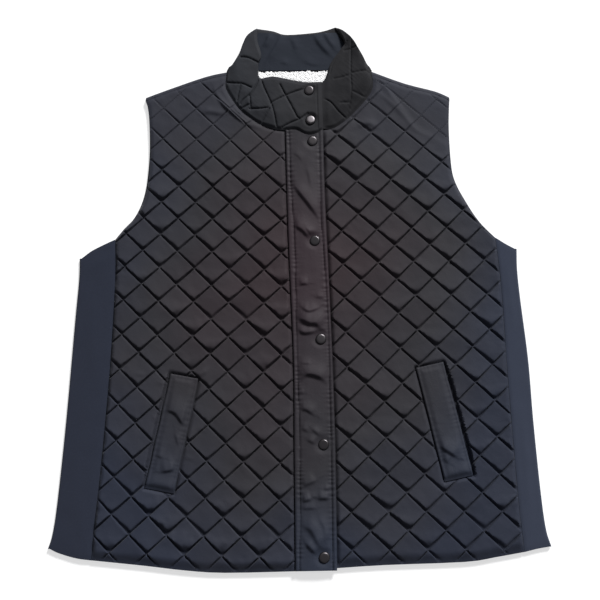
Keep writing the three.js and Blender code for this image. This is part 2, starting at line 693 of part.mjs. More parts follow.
// Half of the collar's front, from its end to the side fold; it runs past the neck seam and is cut there
function collarHalf(neck, top, lapped) {
  const foldedFrom = 1 - COLLAR_FOLD_WIDTH / COLLAR_LENGTH;
  return gridSolid(COLLAR_COLUMNS, COLLAR_ROWS, (share, part) => {
    const up = THREE.MathUtils.lerp(-CUT_MARGIN / COLLAR_HEIGHT, 1, part);
    const base = pointAlong(neck, share);
    const point = base.clone().addScaledVector(pointAlong(top, share).sub(base), up);
    const height = Math.max(0, up * COLLAR_HEIGHT);
    const length = share * COLLAR_LENGTH;
    const lift = lapped ? FLAP_LIFT * smoothStep(FLAP_LIFT_FROM, FLAP_LIFT_TO, point.x) : 0;
    const low = FRONT_LOW + collarRise(height) + lift;
    let thick = PLAIN_THICK - SEAM_GAP;
    if (lapped || point.x > COLLAR_LAP_X) {
      const inside = Math.min(height, COLLAR_HEIGHT - height, COLLAR_LENGTH - length, length);
      const full = smoothStep(COLLAR_EDGE_FROM, COLLAR_EDGE_TO, inside);
      const puffed = STITCH_THICK + COLLAR_CROWN * collarPillow(length, height);
      thick = THREE.MathUtils.lerp(EDGE_THICK, puffed, full);
    }
    const folded = share > foldedFrom && point.y > COLLAR_FOLD_Y;
    return { x: point.x, y: point.y, low: folded ? ROLL_LOW : low, high: low + thick };
  });
}

function collar() {
  const outline = joined(
    smoothLine(COLLAR_FOLD_RIGHT),
    reversed(smoothLine(COLLAR_BACK_TOP)),
    reversed(smoothLine(COLLAR_FOLD_LEFT)),
    smoothLine(NECK_SEAM_BACK, 2),
  );
  const neckRight = smoothLine(NECK_SEAM_RIGHT);
  const neckPlacket = smoothLine(NECK_SEAM_PLACKET);
  const neckLeft = smoothLine(NECK_SEAM_LEFT);
  const foldRight = smoothLine(COLLAR_FOLD_RIGHT);
  const foldLeft = smoothLine(COLLAR_FOLD_LEFT);
  const rim = joined(foldLeft, smoothLine(COLLAR_BACK_TOP), reversed(foldRight));
  const whole = block(joined(neckRight, neckPlacket, neckLeft, rim), 0, COLLAR_TOP_LEVEL);
  const rightNeck = joined(reversed(neckPlacket), reversed(neckRight), [foldRight[0]]);
  const leftNeck = joined(smoothLine(COLLAR_LEFT_END), neckLeft, [foldLeft[0]]);
  const rightHalf = collarHalf(rightNeck, smoothLine(COLLAR_TOP_RIGHT), true);
  const leftHalf = collarHalf(leftNeck, smoothLine(COLLAR_TOP_LEFT), false);
  const fronts = rightHalf.add(leftHalf).intersect(whole);
  let band = block(outline, 0, BACK_THICK).add(fronts);
  for (const snap of SNAPS.slice(0, 2)) {
    band = band.subtract(snapSeat(snap, snapLevel(snap)));
  }
  return band;
}

// A layer that lies on the back's inside
function liningLayer(table, thick) {
  return block(straightLine(table), FRONT_LOW, FRONT_LOW + thick);
}

// Snap cap: a low dome with a rolled rim
function snapCap(snap) {
  const profile = SNAP_PROFILE.map((p) => new THREE.Vector2(p.radius, p.height));
  const cap = new THREE.LatheGeometry(profile, SNAP_SIDES).rotateX(Math.PI / 2);
  return toGeometry(toSolid(cap.translate(snap.x, snap.y, snapLevel(snap) + SEAM_GAP)));
}

// The vest
const vest = new THREE.Group();

function addPiece(name, geometry, material) {
  const mesh = new THREE.Mesh(geometry, material.clone());
  mesh.name = name;
  vest.add(mesh);
}

addPiece('front_right', toGeometry(frontPanel('right')), QUILTED);
addPiece('front_left', toGeometry(frontPanel('left')), QUILTED);
addPiece('back', toGeometry(backPanel()), QUILTED);
addPiece('side_panel_right', toGeometry(sidePanel('right')), KNIT);
addPiece('side_panel_left', toGeometry(sidePanel('left')), KNIT);
addPiece('placket', toGeometry(placket()), PLAIN);
addPiece('collar', toGeometry(collar()), COLLAR_FACE);
addPiece('collar_lining', toGeometry(liningLayer(COLLAR_LINING, COLLAR_LINING_THICK)), COLLAR_INSIDE);
addPiece('back_lining', toGeometry(liningLayer(BACK_LINING, BACK_LINING_THICK)), PILE);
for (const welt of WELTS) {
  addPiece(welt.name, toGeometry(pocketWelt(welt)), PLAIN);
}
for (const snap of SNAPS) {
  addPiece(snap.name, snapCap(snap), GUNMETAL);
}

export default vest;
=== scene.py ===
# A quilted vest with a stand collar, laid flat with its front up and snapped shut.
# Sizes in this script are millimetres, and build() turns them into metres. +X is the wearer's left, +Y runs
# from hem to collar, +Z is up, and the back rests on z = 0. The wearer's right front is on the -X side.

import math
from collections import namedtuple

import bmesh
import bpy
import numpy as np
from mathutils import Matrix, Vector


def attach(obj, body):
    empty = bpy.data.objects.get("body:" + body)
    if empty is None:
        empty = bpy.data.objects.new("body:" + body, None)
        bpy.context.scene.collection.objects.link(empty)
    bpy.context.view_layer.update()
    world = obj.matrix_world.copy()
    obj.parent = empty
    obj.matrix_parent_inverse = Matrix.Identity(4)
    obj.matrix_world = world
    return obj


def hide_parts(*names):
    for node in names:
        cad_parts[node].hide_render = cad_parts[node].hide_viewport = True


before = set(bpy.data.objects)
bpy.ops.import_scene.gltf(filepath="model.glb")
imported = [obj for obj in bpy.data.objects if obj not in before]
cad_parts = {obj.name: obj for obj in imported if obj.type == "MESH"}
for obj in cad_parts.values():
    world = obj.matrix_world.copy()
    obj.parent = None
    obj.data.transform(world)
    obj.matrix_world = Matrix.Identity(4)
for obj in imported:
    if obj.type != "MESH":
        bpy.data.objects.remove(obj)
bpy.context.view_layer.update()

MM = 0.001

# A ridge of cloth along a line: its height, and the widths of its soft upper side and its steep lower side
Fold = namedtuple("Fold", "points rise soft steep")

# Levels at which the layers lie, as in the frame, with a gap wherever one meets another
SEAM_GAP = 0.3
BACK_TOP = 4.5
FRONT_LOW = BACK_TOP + SEAM_GAP
STITCH_THICK = 2.6
STITCH_TOP = FRONT_LOW + STITCH_THICK
PLACKET_LOW = STITCH_TOP + SEAM_GAP

# Quilting: crossings of the stitch lines, counted across (a) and up (b) from one near the top of each front.
# The second-order terms are the drift of the stitch lines over a panel that was handled after sewing.
QUILTS = {
    "right": {"at": (-79.2, 190.0), "a": (25.12, -0.42), "b": (-0.51, 25.16), "aa": (0.002, 0.023),
              "ab": (-0.006, 0.006), "bb": (-0.022, 0.006)},
    "left": {"at": (133.3, 202.7), "a": (25.50, 1.22), "b": (-0.95, 25.51), "aa": (0.029, -0.043),
             "ab": (0.002, 0.049), "bb": (-0.016, 0.013)},
}
DIAMOND_SIDE = 35.6
DIAMOND_CELLS = 23
U_FROM = -17
V_FROM = -15
DIAMOND_STEPS = 22
# The steps lie closer by the stitch lines, where the cloth turns sharply
STEP_CROWDING = 0.6
CROWN = 3.8
# Each pillow is flat on top. Its sides slope over these widths. The fill has slid about, so the lower sides
# slope further, and it has heaped up above some bottom corners, which are empty.
SLOPE_UPPER = 0.9
SLOPE_LOWER_LEFT = (1.5, 3.4)
SLOPE_LOWER_RIGHT = (1.3, 2.0)
EMPTY_CORNER = 8.2
HEAP = 0.55
HEAP_REACH = 13
# The lower sides stay low near the stitches and then rise steeply
BEND_UPPER = 1.3
BEND_LOWER = 2.6
BEND_CORNER = 1.4
CROWN_TILT = 0.26
KNEE = 4
# Spacing of the puckers along the stitch lines
QUILT_PUCKER = 8.5

# Corners of the garment, where one edge turns into the next
CORNERS = {
    "right": {"hem_side": (-279, -390), "armhole_low": (-269, 61), "tip": (-233, 281),
              "neck_high": (-112, 324), "neck_low": (-22, 232), "hem_centre": (-6, -404)},
    "left": {"hem_side": (302, -379), "armhole_low": (285, 64), "tip": (226, 282),
             "neck_high": (110, 325), "neck_low": (35, 233), "hem_centre": (50, -400)},
}
SHOULDER_ROLL = 7

# Stitch lines of the placket, hem to neck: on the wearer's right and on the left
PLACKET_STITCHING = (
    [(0, -404), (0, -371), (0, -233), (-4, -125), (-6, -35), (-8, 59), (-13, 138), (-17, 232)],
    [(44, -404), (44, -381), (43, -233), (40, -87), (37, -8), (34, 45), (31, 96), (28, 233)],
)

# Folds of the placket
PLACKET_FOLDS = [
    Fold([(-12, 149), (0, 132), (12, 116), (24, 99), (30, 91)], 3.2, 16, 2.2),
    Fold([(-14, 80), (-6, 80), (5, 73), (16, 59)], 2.9, 13, 2.1),
    Fold([(9, 77), (19, 64)], 1.3, 6, 1.4),
    Fold([(10, 172), (14, 158), (17, 140)], 0.7, 10, 2.0),
    Fold([(-10, 196), (-2, 190), (4, 181)], 0.6, 8, 1.6),
    Fold([(-1, -8), (5, -7), (12, -7)], 2.1, 8, 1.6),
    Fold([(22, -26), (36, -28)], 1.2, 8, 1.4),
    Fold([(0, -38), (10, -47), (17, -47), (29, -41)], 2.1, 11, 1.7),
    Fold([(-5, -57), (3, -59), (15, -65), (23, -65), (32, -73)], 5.2, 16, 3.4),
    Fold([(-5, -72), (7, -79), (24, -76)], 3.0, 8, 2.2),
    Fold([(2, -145), (10, -138), (26, -141), (37, -149)], 4.0, 14, 2.6),
    Fold([(-1, -122), (17, -124)], 0.9, 8, 1.4),
    Fold([(-4, -163), (6, -165)], 1.1, 6, 1.3),
    Fold([(-2, -187), (9, -188), (21, -196)], 2.2, 10, 1.7),
    Fold([(1, -213), (12, -218)], 1.5, 8, 1.7),
    Fold([(16, -214), (28, -224)], 1.6, 6, 1.5),
    Fold([(10, -229), (22, -235)], 1.6, 8, 1.8),
    Fold([(1, -292), (13, -288), (24, -283)], 1.9, 11, 2.4),
    Fold([(3, -312), (16, -309)], 2.8, 8, 2.2),
    Fold([(23, -308), (42, -308)], 2.8, 8, 2.4),
    Fold([(32, -296), (45, -296)], 1.4, 6, 1.5),
    Fold([(1, -322), (23, -321)], 1.4, 8, 1.8),
    Fold([(4, -343), (16, -350), (27, -369), (32, -375)], 3.8, 14, 4.0),
    Fold([(7, -365), (15, -374), (23, -381)], 3.0, 10, 2.2),
    Fold([(26, -332), (34, -348), (36, -366)], 1.3, 8, 3.0),
]

# Pocket welts: the ends of each one's centre line, and folds in its own frame (down from its top, across)
WELT_WIDTH = 40
WELTS = {
    "right": {"top": (-161.5, -141), "bottom": (-191, -298.5), "folds": [
        Fold([(53, -18), (51, -12), (53, -1), (62, 9), (70, 18)], 3.0, 18, 1.8),
        Fold([(79, 4), (88, 9), (101, 16)], 1.3, 10, 1.6),
        Fold([(113, -19), (116, -4)], 1.5, 12, 1.8),
        Fold([(135, -5), (130, 9), (125, 18)], 2.8, 14, 2.2),
    ]},
    "left": {"top": (182.5, -125), "bottom": (217.5, -282), "folds": [
        Fold([(109, -18), (119, -8), (134, 7)], 3.2, 16, 2.4),
        Fold([(128, -17), (138, -8)], 1.5, 12, 1.6),
        Fold([(76, -17), (80, -11)], 0.8, 6, 1.5),
        Fold([(90, -18), (93, -12)], 0.8, 6, 1.5),
    ]},
}
# Small wrinkles of the fronts where the welts pull on them, and folds by the collar and shoulders
FRONT_WRINKLES = {
    "right": [
        Fold([(-144, -142), (-136, -138), (-128, -131)], 1.6, 4, 1.8),
        Fold([(-232, -139), (-216, -140)], 0.8, 4, 1.3),
        Fold([(-201, -151), (-189, -152)], 0.8, 3, 1.3),
        Fold([(-205, -196), (-199, -204)], 0.7, 3, 1.3),
        Fold([(-158, -254), (-146, -256)], 0.9, 3, 1.4),
        Fold([(-130, 300), (-126, 291), (-115, 273), (-101, 260), (-90, 250), (-79, 242), (-63, 236)],
             3.0, 6, 2.4),
        Fold([(-101, 272), (-90, 260), (-75, 248)], 1.6, 3, 1.6),
        Fold([(-150, 258), (-138, 262), (-126, 260), (-112, 258)], 2.0, 7, 2.4),
    ],
    "left": [
        Fold([(205, -139), (214, -132)], 0.8, 3, 1.4),
        Fold([(214, -160), (222, -166)], 0.8, 3, 1.4),
        Fold([(236, -100), (254, -98)], 0.7, 3, 1.4),
        Fold([(126, 314), (133, 298), (143, 283), (152, 270), (160, 256)], 1.3, 3, 6),
        Fold([(112, 300), (134, 280), (158, 254), (173, 234), (191, 222)], 0.9, 3, 3),
        Fold([(84, 236), (100, 243), (116, 236)], 1.6, 7, 2.4),
    ],
}


# Curves and distances
def smooth_line(points, spacing=3.0):
    """A smooth curve through the points, with a point every few millimetres."""
    points = np.array(points, float)
    if len(points) == 2:
        return points
    padded = np.vstack([2 * points[0] - points[1], points, 2 * points[-1] - points[-2]])
    line = []
    for i in range(1, len(padded) - 2):
        p0, p1, p2, p3 = padded[i - 1:i + 3]
        count = max(2, int(np.hypot(*(p2 - p1)) / spacing))
        for t in np.linspace(0, 1, count, endpoint=False):
            line.append(0.5 * (2 * p1 + (p2 - p0) * t + (2 * p0 - 5 * p1 + 4 * p2 - p3) * t ** 2
                               + (3 * p1 - p0 - 3 * p2 + p3) * t ** 3))
    return np.array(line + [points[-1]])


def nearest(points, line, closed=False):
    """How far each point is from a line, the line's nearest place, how far along that is, and the side."""
    starts = line if closed else line[:-1]
    ends = np.roll(line, -1, axis=0) if closed else line[1:]
    best = np.full(len(points), np.inf)
    foot = np.zeros((len(points), 2))
    along = np.zeros(len(points))
    side = np.ones(len(points))
    travelled = 0.0
    for start, end in zip(starts, ends):
        edge = end - start
        length = np.hypot(*edge)
        if length < 1e-6:
            continue
        away = points - start
        share = np.clip(away @ edge / length ** 2, 0, 1)
        on_edge = start + share[:, None] * edge
        distance = np.hypot(*(points - on_edge).T)
        closer = distance < best
        best[closer] = distance[closer]
        foot[closer] = on_edge[closer]
        along[closer] = travelled + share[closer] * length
        cross = edge[0] * away[:, 1] - edge[1] * away[:, 0]
        side[closer] = np.where(cross[closer] >= 0, 1, -1)
        travelled += length
    return best, foot, along, side


def line_length(line):
    return np.hypot(*np.diff(line, axis=0).T).sum()


def distance_to(points, lines):
    """Distance of each point from the nearest of some curves."""
    return np.min([nearest(points, smooth_line(line))[0] for line in lines], axis=0)


def inside(points, outline):
    x, y = points.T
    within = np.zeros(len(points), bool)
    for (x0, y0), (x1, y1) in zip(outline, np.roll(outline, -1, axis=0)):
        if y0 != y1:
            crosses = (y0 > y) != (y1 > y)
            within ^= crosses & (x < x0 + (y - y0) / (y1 - y0) * (x1 - x0))
    return within


def smooth_step(low, high, value):
    share = np.clip((value - low) / (high - low), 0, 1)
    return share * share * (3 - 2 * share)


def point_along(line, shares):
    """Points at shares of a line's length."""
    steps = np.hypot(*np.diff(line, axis=0).T)
    reached = np.concatenate([[0], np.cumsum(steps)])
    target = np.clip(shares, 0, 1) * reached[-1]
    return np.stack([np.interp(target, reached, line[:, 0]), np.interp(target, reached, line[:, 1])], axis=-1)


NOISE_CELLS = 64


def noise(x, y, size, seed):
    """Smooth random values from -1 to 1 that change over a size."""
    table = np.random.default_rng(seed).uniform(-1, 1, (NOISE_CELLS, NOISE_CELLS))
    column, row = np.floor(x / size).astype(int), np.floor(y / size).astype(int)
    right = smooth_step(0, 1, x / size - column)
    up = smooth_step(0, 1, y / size - row)

    def value(i, j):
        return table[i % NOISE_CELLS, j % NOISE_CELLS]

    low = value(column, row) * (1 - right) + value(column + 1, row) * right
    high = value(column, row + 1) * (1 - right) + value(column + 1, row + 1) * right
    return low * (1 - up) + high * up


def pucker(distance, along, pitch, reach, seed):
    """Small ripples across a line of stitches, from -1 to 1, that die out away from it."""
    along = np.asarray(along, float)
    level = np.zeros_like(along)
    wave = np.sin(2 * math.pi * (along / pitch + 0.9 * noise(along, level, 2.5 * pitch, seed)))
    strength = 0.55 + 0.45 * noise(along, level, 4 * pitch, seed + 1)
    return wave * strength * np.exp(-distance / reach)


UPHILL = (0.5, 0.87)


def fold_rise(points, folds, uphill=UPHILL):
    """Height of a list of folds: each rises softly on its uphill side and falls steeply on the other."""
    height = np.zeros(len(points))
    for fold in folds:
        line = smooth_line(fold.points)
        distance, _, along, side = nearest(points, line)
        run = line[-1] - line[0]
        facing = 1 if uphill[1] * run[0] - uphill[0] * run[1] > 0 else -1
        ends = np.minimum(along, line_length(line) - along)
        taper = 0.25 + 0.75 * smooth_step(0, 0.35 * line_length(line), ends)
        width = np.where(side * facing > 0, fold.soft, fold.steep)
        height += fold.rise * taper * np.exp(-(distance / width) ** 2)
    return height


# Outlines that the frame gives
def flat_outline(node):
    """Outline of a node's lowest flat face, counter-clockwise."""
    form = bmesh.new()
    form.from_mesh(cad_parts[node].data)
    bmesh.ops.remove_doubles(form, verts=form.verts, dist=0.01 * MM)
    level = min(v.co.z for v in form.verts)
    under = {f for f in form.faces if f.normal.z < -0.99 and all(v.co.z - level < 0.05 * MM for v in f.verts)}
    beside = {}
    for edge in form.edges:
        if sum(face in under for face in edge.link_faces) == 1:
            first, second = edge.verts
            beside.setdefault(first, []).append(second)
            beside.setdefault(second, []).append(first)
    start = next(iter(beside))
    walk = [start, beside[start][0]]
    while walk[-1] is not start:
        ways = [v for v in beside[walk[-1]] if v is not walk[-2]]
        walk.append(ways[0])
    outline = np.array([(v.co.x, v.co.y) for v in walk[:-1]]) / MM
    form.free()
    x, y = outline.T
    if (x * np.roll(y, -1) - y * np.roll(x, -1)).sum() < 0:
        outline = outline[::-1]
    return outline


def stretch(outline, start, end):
    """The shorter way along an outline from the corner nearest one place to the corner nearest another."""
    first = np.hypot(*(outline - start).T).argmin()
    last = np.hypot(*(outline - end).T).argmin()
    onward = np.roll(outline, -first, axis=0)[:(last - first) % len(outline) + 1]
    backward = np.roll(outline[::-1], first + 1, axis=0)[:(first - last) % len(outline) + 1]
    return onward if line_length(onward) < line_length(backward) else backward


# Meshes
SHARP_ANGLE = 65
QUILT_SHARP_ANGLE = 45


def put(name, data):
    """A new object of the scene, at the origin."""
    made = bpy.data.objects.new(name, data)
    bpy.context.scene.collection.objects.link(made)
    return made


def build(name, vertices, faces, sharp=SHARP_ANGLE):
    """A mesh object at the origin, from millimetres, shaded smooth but for its sharp edges."""
    mesh = bpy.data.meshes.new(name)
    mesh.from_pydata((np.asarray(vertices) * MM).tolist(), [], [list(map(int, face)) for face in faces])
    mesh.update()
    for face in mesh.polygons:
        face.use_smooth = True
    mesh.set_sharp_from_angle(angle=math.radians(sharp))
    return put(name, mesh)


def rim_of(faces):
    """The closed rim of some faces, as vertex numbers in the faces' own turning."""
    edges = set()
    for face in faces:
        for first, second in zip(face, np.roll(face, -1)):
            edges.add((int(first), int(second)))
    onward = {first: second for first, second in edges if (second, first) not in edges}
    start = next(iter(sorted(onward)))
    walk = [start]
    while onward[walk[-1]] != start:
        walk.append(onward[walk[-1]])
    return walk


def closed_cloth(name, points, top, faces, low, sharp=SHARP_ANGLE):
    """A closed wall: the faces at their heights, a rim down to the underside, and a plain underside."""
    used = np.unique(faces)
    number = np.full(len(points), -1)
    number[used] = np.arange(len(used))
    faces = number[faces]
    low = np.broadcast_to(low, len(points))[used]
    upper = np.column_stack([points[used], top[used]])
    rim = rim_of(faces)
    lower = np.column_stack([points[used][rim], low[rim]])
    count = len(used)
    under = list(range(count, count + len(rim)))
    wall = [(rim[i - 1], under[i - 1], under[i], rim[i]) for i in range(len(rim))]
    everything = [*faces.tolist(), *wall, under[::-1]]
    return build(name, np.vstack([upper, lower]), everything, sharp)


def grid_faces(rows, columns):
    """Quads of a grid of points that is stored row by row."""
    row, column = np.meshgrid(np.arange(rows - 1), np.arange(columns - 1), indexing="ij")
    first = (row * columns + column).ravel()
    return np.column_stack([first, first + 1, first + columns + 1, first + columns])


def unit_grid(columns, rows):
    """Shares from 0 to 1 across and up a grid that is stored row by row."""
    share, up = np.meshgrid(np.linspace(0, 1, columns), np.linspace(0, 1, rows))
    return share.ravel(), up.ravel()


def tube_faces(rings, ring):
    """Quads between closed rings of points that are stored ring by ring."""
    faces = []
    for first in range(0, (rings - 1) * ring, ring):
        for k in range(ring):
            a, b = first + k, first + (k + 1) % ring
            faces.append((a, b, b + ring, a + ring))
    return faces


CORNER_TURN = math.radians(35)


def cut_to(outline, points, faces):
    """The faces that lie inside an outline, with the rim of what is kept drawn out onto it."""
    kept = inside(points, outline)
    faces = faces[kept[faces].all(axis=1)]
    for _ in range(3):
        edges = np.sort(np.stack([faces, np.roll(faces, -1, axis=1)], axis=-1), axis=-1)
        _, back, count = np.unique(edges.reshape(-1, 2), axis=0, return_inverse=True, return_counts=True)
        shared = (count[back.ravel()].reshape(faces.shape) == 2).sum(axis=1)
        faces = faces[shared >= 2]
    uses = np.bincount(faces.ravel(), minlength=len(points))
    rim = np.flatnonzero((uses > 0) & (uses < 4))
    points = points.copy()
    points[rim] = nearest(points[rim], outline, closed=True)[1]
    before = outline - np.roll(outline, 1, axis=0)
    after = np.roll(outline, -1, axis=0) - outline
    turn = np.arctan2(before[:, 0] * after[:, 1] - before[:, 1] * after[:, 0], (before * after).sum(axis=1))
    for corner in outline[np.abs(turn) > CORNER_TURN]:
        points[rim[np.hypot(*(points[rim] - corner).T).argmin()]] = corner
    return points, faces


def outline_grid(outline, step, margin):
    """Points and quads of a square grid that is cut to an outline."""
    low, high = outline.min(axis=0) - margin, outline.max(axis=0) + margin
    x, y = np.arange(low[0], high[0], step), np.arange(low[1], high[1], step)
    yy, xx = np.meshgrid(y, x, indexing="ij")
    return cut_to(outline, np.column_stack([xx.ravel(), yy.ravel()]), grid_faces(len(y), len(x)))


def outwards(piece):
    """Turns a piece's faces outwards."""
    form = bmesh.new()
    form.from_mesh(piece.data)
    bmesh.ops.recalc_face_normals(form, faces=form.faces)
    form.to_mesh(piece.data)
    form.free()


def joined(name, pieces):
    """Several meshes as one object."""
    bpy.ops.object.select_all(action="DESELECT")
    for piece in pieces:
        piece.select_set(True)
    bpy.context.view_layer.objects.active = pieces[0]
    bpy.ops.object.join()
    pieces[0].name = name
    return pieces[0]


STITCH_PITCH = 3.6
STITCH_LENGTH = 2.7
STITCH_WIDTH = 0.55
# How far a stitch's ends dip below the cloth and its middle stands above it
STITCH_DIP = 0.1
STITCH_CROWN = 0.2
# Three rings of four corners each, with an end on both sides
STITCH_FACES = tube_faces(3, 4) + [(3, 2, 1, 0), (8, 9, 10, 11)]


def at_level(level):
    """A height that is the same all over."""
    return lambda points: np.full(len(points), level)


def stitches(name, lines, height):
    """Rows of stitches along lines: each a short thread with four sides that dips at both ends."""
    vertices, faces = [], []
    for line in lines:
        count = int(line_length(line) / STITCH_PITCH)
        if count < 2:
            continue
        shares = (np.arange(count) + 0.5) / count
        half = 0.5 * STITCH_LENGTH / line_length(line)
        start, middle, end = (point_along(line, shares + d) for d in (-half, 0, half))
        heights = height(np.vstack([start, middle, end])).reshape(3, -1)
        for i in range(count):
            ahead = end[i] - start[i]
            across = np.array([-ahead[1], ahead[0]]) / max(np.hypot(*ahead), 1e-6) * STITCH_WIDTH / 2
            first = len(vertices)
            for place, z, swell in ((start[i], heights[0, i] - STITCH_DIP, 0.5),
                                    (middle[i], heights[1, i] + STITCH_CROWN, 1),
                                    (end[i], heights[2, i] - STITCH_DIP, 0.5)):
                left, right = place + across * swell, place - across * swell
                rise = STITCH_WIDTH / 2 * swell
                vertices += [(*left, z), (*place, z + rise), (*right, z), (*place, z - rise)]
            faces += [[first + corner for corner in face] for face in STITCH_FACES]
    return build(name, vertices, faces)


# Quilted fronts
def lattice_place(quilt, u, v):
    """Places of the quilting's own coordinates, which are whole numbers at the crossings."""
    a, b = u - v, u + v
    place = np.array(quilt["at"]) + np.zeros((*np.shape(a), 2))
    for key, value in (("a", a), ("b", b), ("aa", a * a), ("ab", a * b), ("bb", b * b)):
        place += np.multiply.outer(value, quilt[key])
    return place


def pillow(u, v, slump, seed):
    """Height of the quilting above its stitch lines, from 0 to about 1."""
    # Seven ways in which one diamond differs from the next
    chance = np.random.default_rng(seed).random((7, 2 * DIAMOND_CELLS, 2 * DIAMOND_CELLS))
    column, row = np.floor(u).astype(int), np.floor(v).astype(int)
    full, low_left, low_right, high_right, high_left, lean, emptied = chance[
        :, column % (2 * DIAMOND_CELLS), row % (2 * DIAMOND_CELLS)]
    across, up = u - column, v - row
    height = 0.9 + 0.2 * full
    height = height + CROWN_TILT * ((2 * lean - 1) * (2 * across - 1) + (2 * full - 1) * (2 * up - 1))
    ragged = 1 + 0.3 * noise(u * DIAMOND_SIDE, v * DIAMOND_SIDE, 6, seed + 9)
    least, more = SLOPE_LOWER_LEFT
    lower_left = least + more * slump * (0.3 + low_left) * (1 - up) * ragged
    least, more = SLOPE_LOWER_RIGHT
    lower_right = least + more * slump * (0.2 + low_right) * (1 - across) * ragged
    corner = (across + up) / math.sqrt(2)
    empty = 1.0 + EMPTY_CORNER * slump * emptied * ragged
    height = height + HEAP * slump * emptied * np.exp(-((corner * DIAMOND_SIDE - empty) / HEAP_REACH) ** 2)
    sides = (
        (across, lower_left, BEND_LOWER),
        (up, lower_right, BEND_LOWER),
        (1 - across, SLOPE_UPPER * (0.8 + 0.5 * high_right), BEND_UPPER),
        (1 - up, SLOPE_UPPER * (0.8 + 0.5 * high_left), BEND_UPPER),
        (corner, empty, BEND_CORNER),
    )
    for share, width, bend in sides:
        reach = (share * DIAMOND_SIDE / width) ** bend
        height = height * reach / (1 + reach ** KNEE) ** (1 / KNEE)
    ripple = 0
    lines = ((across, v, u), (up, u, v), (1 - across, v, u), (1 - up, u, v))
    for number, (share, along, line) in enumerate(lines):
        # Each stitch line's puckers start somewhere else
        shifted = along * DIAMOND_SIDE + 31 * np.round(line)
        ripple = ripple + pucker(share * DIAMOND_SIDE, shifted, QUILT_PUCKER, 4.0, seed + number)
    return height + 0.07 * ripple * np.clip(height * 3, 0, 1)


def welt_frame(side):
    """The top of a welt's centre line, the directions down and across it, and its length."""
    top, bottom = np.array(WELTS[side]["top"], float), np.array(WELTS[side]["bottom"], float)
    length = np.hypot(*(bottom - top))
    down = (bottom - top) / length
    return top, down, np.array([-down[1], down[0]]), length


def welt_place(points, side):
    """How far down a welt's centre line and across it points lie, and the line's length."""
    top, down, across, length = welt_frame(side)
    return (points - top) @ down, (points - top) @ across, length


def front_edges(side, outline):
    """The stretches of a front's outline."""
    corner = CORNERS[side]
    return {
        "hem": stretch(outline, corner["hem_centre"], corner["hem_side"]),
        "side": stretch(outline, corner["hem_side"], corner["armhole_low"]),
        "armhole": stretch(outline, corner["armhole_low"], corner["tip"]),
        "shoulder": stretch(outline, corner["tip"], corner["neck_high"]),
        "neck": stretch(outline, corner["neck_high"], corner["neck_low"]),
    }


# How far in from each edge a front reaches its full height, and how high its rim is above the underside
EDGE_REACH = {"hem": 14, "side": 4, "armhole": 5, "shoulder": 5, "neck": 5, "centre": 4}
RIM_THICK = 1.7
QUILT_SEEDS = {"right": 11, "left": 23}
MOUTH_WIDTH = 3.2
MOUTH_THICK = 0.5
# The quilting goes flat beyond these lines, where the fronts are drawn over the shoulders
YOKE = {"right": [(-238, 240), (-200, 262), (-160, 290), (-125, 322)],
        "left": [(112, 300), (134, 280), (158, 254), (173, 234), (191, 222), (220, 205)]}


def fill_of(side, points):
    """How far the fill has slid down its diamonds, and how much flatter it lies towards the shoulders."""
    x, y = points.T
    by_shoulder = smooth_step(120, 250, y) if side == "right" else smooth_step(150, 260, y + 0.35 * (x - 130))
    by_hem = smooth_step(-250, -350, y)
    by_collar = smooth_step(75, 175, y) * smooth_step(150, 90, x) if side == "left" else 0
    by_middle = np.exp(-((x + 50) / 110) ** 2 - ((y + 60) / 150) ** 2)
    slump = 0.85 + 0.45 * by_middle + 0.5 * by_hem + 0.5 * by_collar
    return slump * (1 - 0.75 * by_shoulder * (1 - by_collar)), by_shoulder


def front_height(side, outline, placket_edges):
    """A function that gives the height of a front at points, with their place in the quilting."""
    edges = front_edges(side, outline)
    edges["centre"] = placket_edges[side]
    seed = QUILT_SEEDS[side]

    def height(points, u, v):
        full = np.ones(len(points))
        ripple = np.zeros(len(points))
        for kind, line in edges.items():
            distance, _, along, facing = nearest(points, line)
            if side == "left" and kind == "centre":
                distance = np.where(facing > 0, 0, distance)
            full *= smooth_step(-0.5, EDGE_REACH[kind], distance)
            if kind in ("side", "centre", "neck"):
                ripple += 0.45 * pucker(distance, along, 9, 6, seed + len(kind))
        down, across, length = welt_place(points, side)
        beyond = np.maximum(np.abs(down - length / 2) - length / 2, 0)
        off_welt = np.hypot(np.maximum(np.abs(across) - WELT_WIDTH / 2, 0), beyond)
        full *= smooth_step(0.3, 4.0, off_welt)
        ripple += 0.5 * pucker(off_welt, down + across, 10, 7, seed + 9)
        slump, by_shoulder = fill_of(side, points)
        from_yoke, _, _, yoke_side = nearest(points, smooth_line(YOKE[side]))
        yoke = smooth_step(0, 12, from_yoke) * (yoke_side > 0)
        puffed = CROWN * (1 - 0.6 * by_shoulder) * (1 - 0.6 * yoke) * pillow(u, v, slump, seed)
        puffed += 0.4 * noise(*points.T, 15, seed + 2) + 0.12 * noise(*points.T, 6, seed + 3)
        puffed += fold_rise(points, FRONT_WRINKLES[side])
        thick = STITCH_THICK + np.maximum(puffed, 0) + ripple
        thick = RIM_THICK + (thick - RIM_THICK) * full
        # The pocket's mouth: the front dips along the welt's outer edge
        outward = across if side == "left" else -across
        open_to = MOUTH_WIDTH * np.sqrt(np.clip(np.minimum(down, length - down) / 30, 0, 1))
        mouth = smooth_step(open_to + 1.2, open_to, np.abs(outward - WELT_WIDTH / 2 - 1)) * (beyond < 1)
        return FRONT_LOW + thick + (MOUTH_THICK - thick) * mouth

    return height


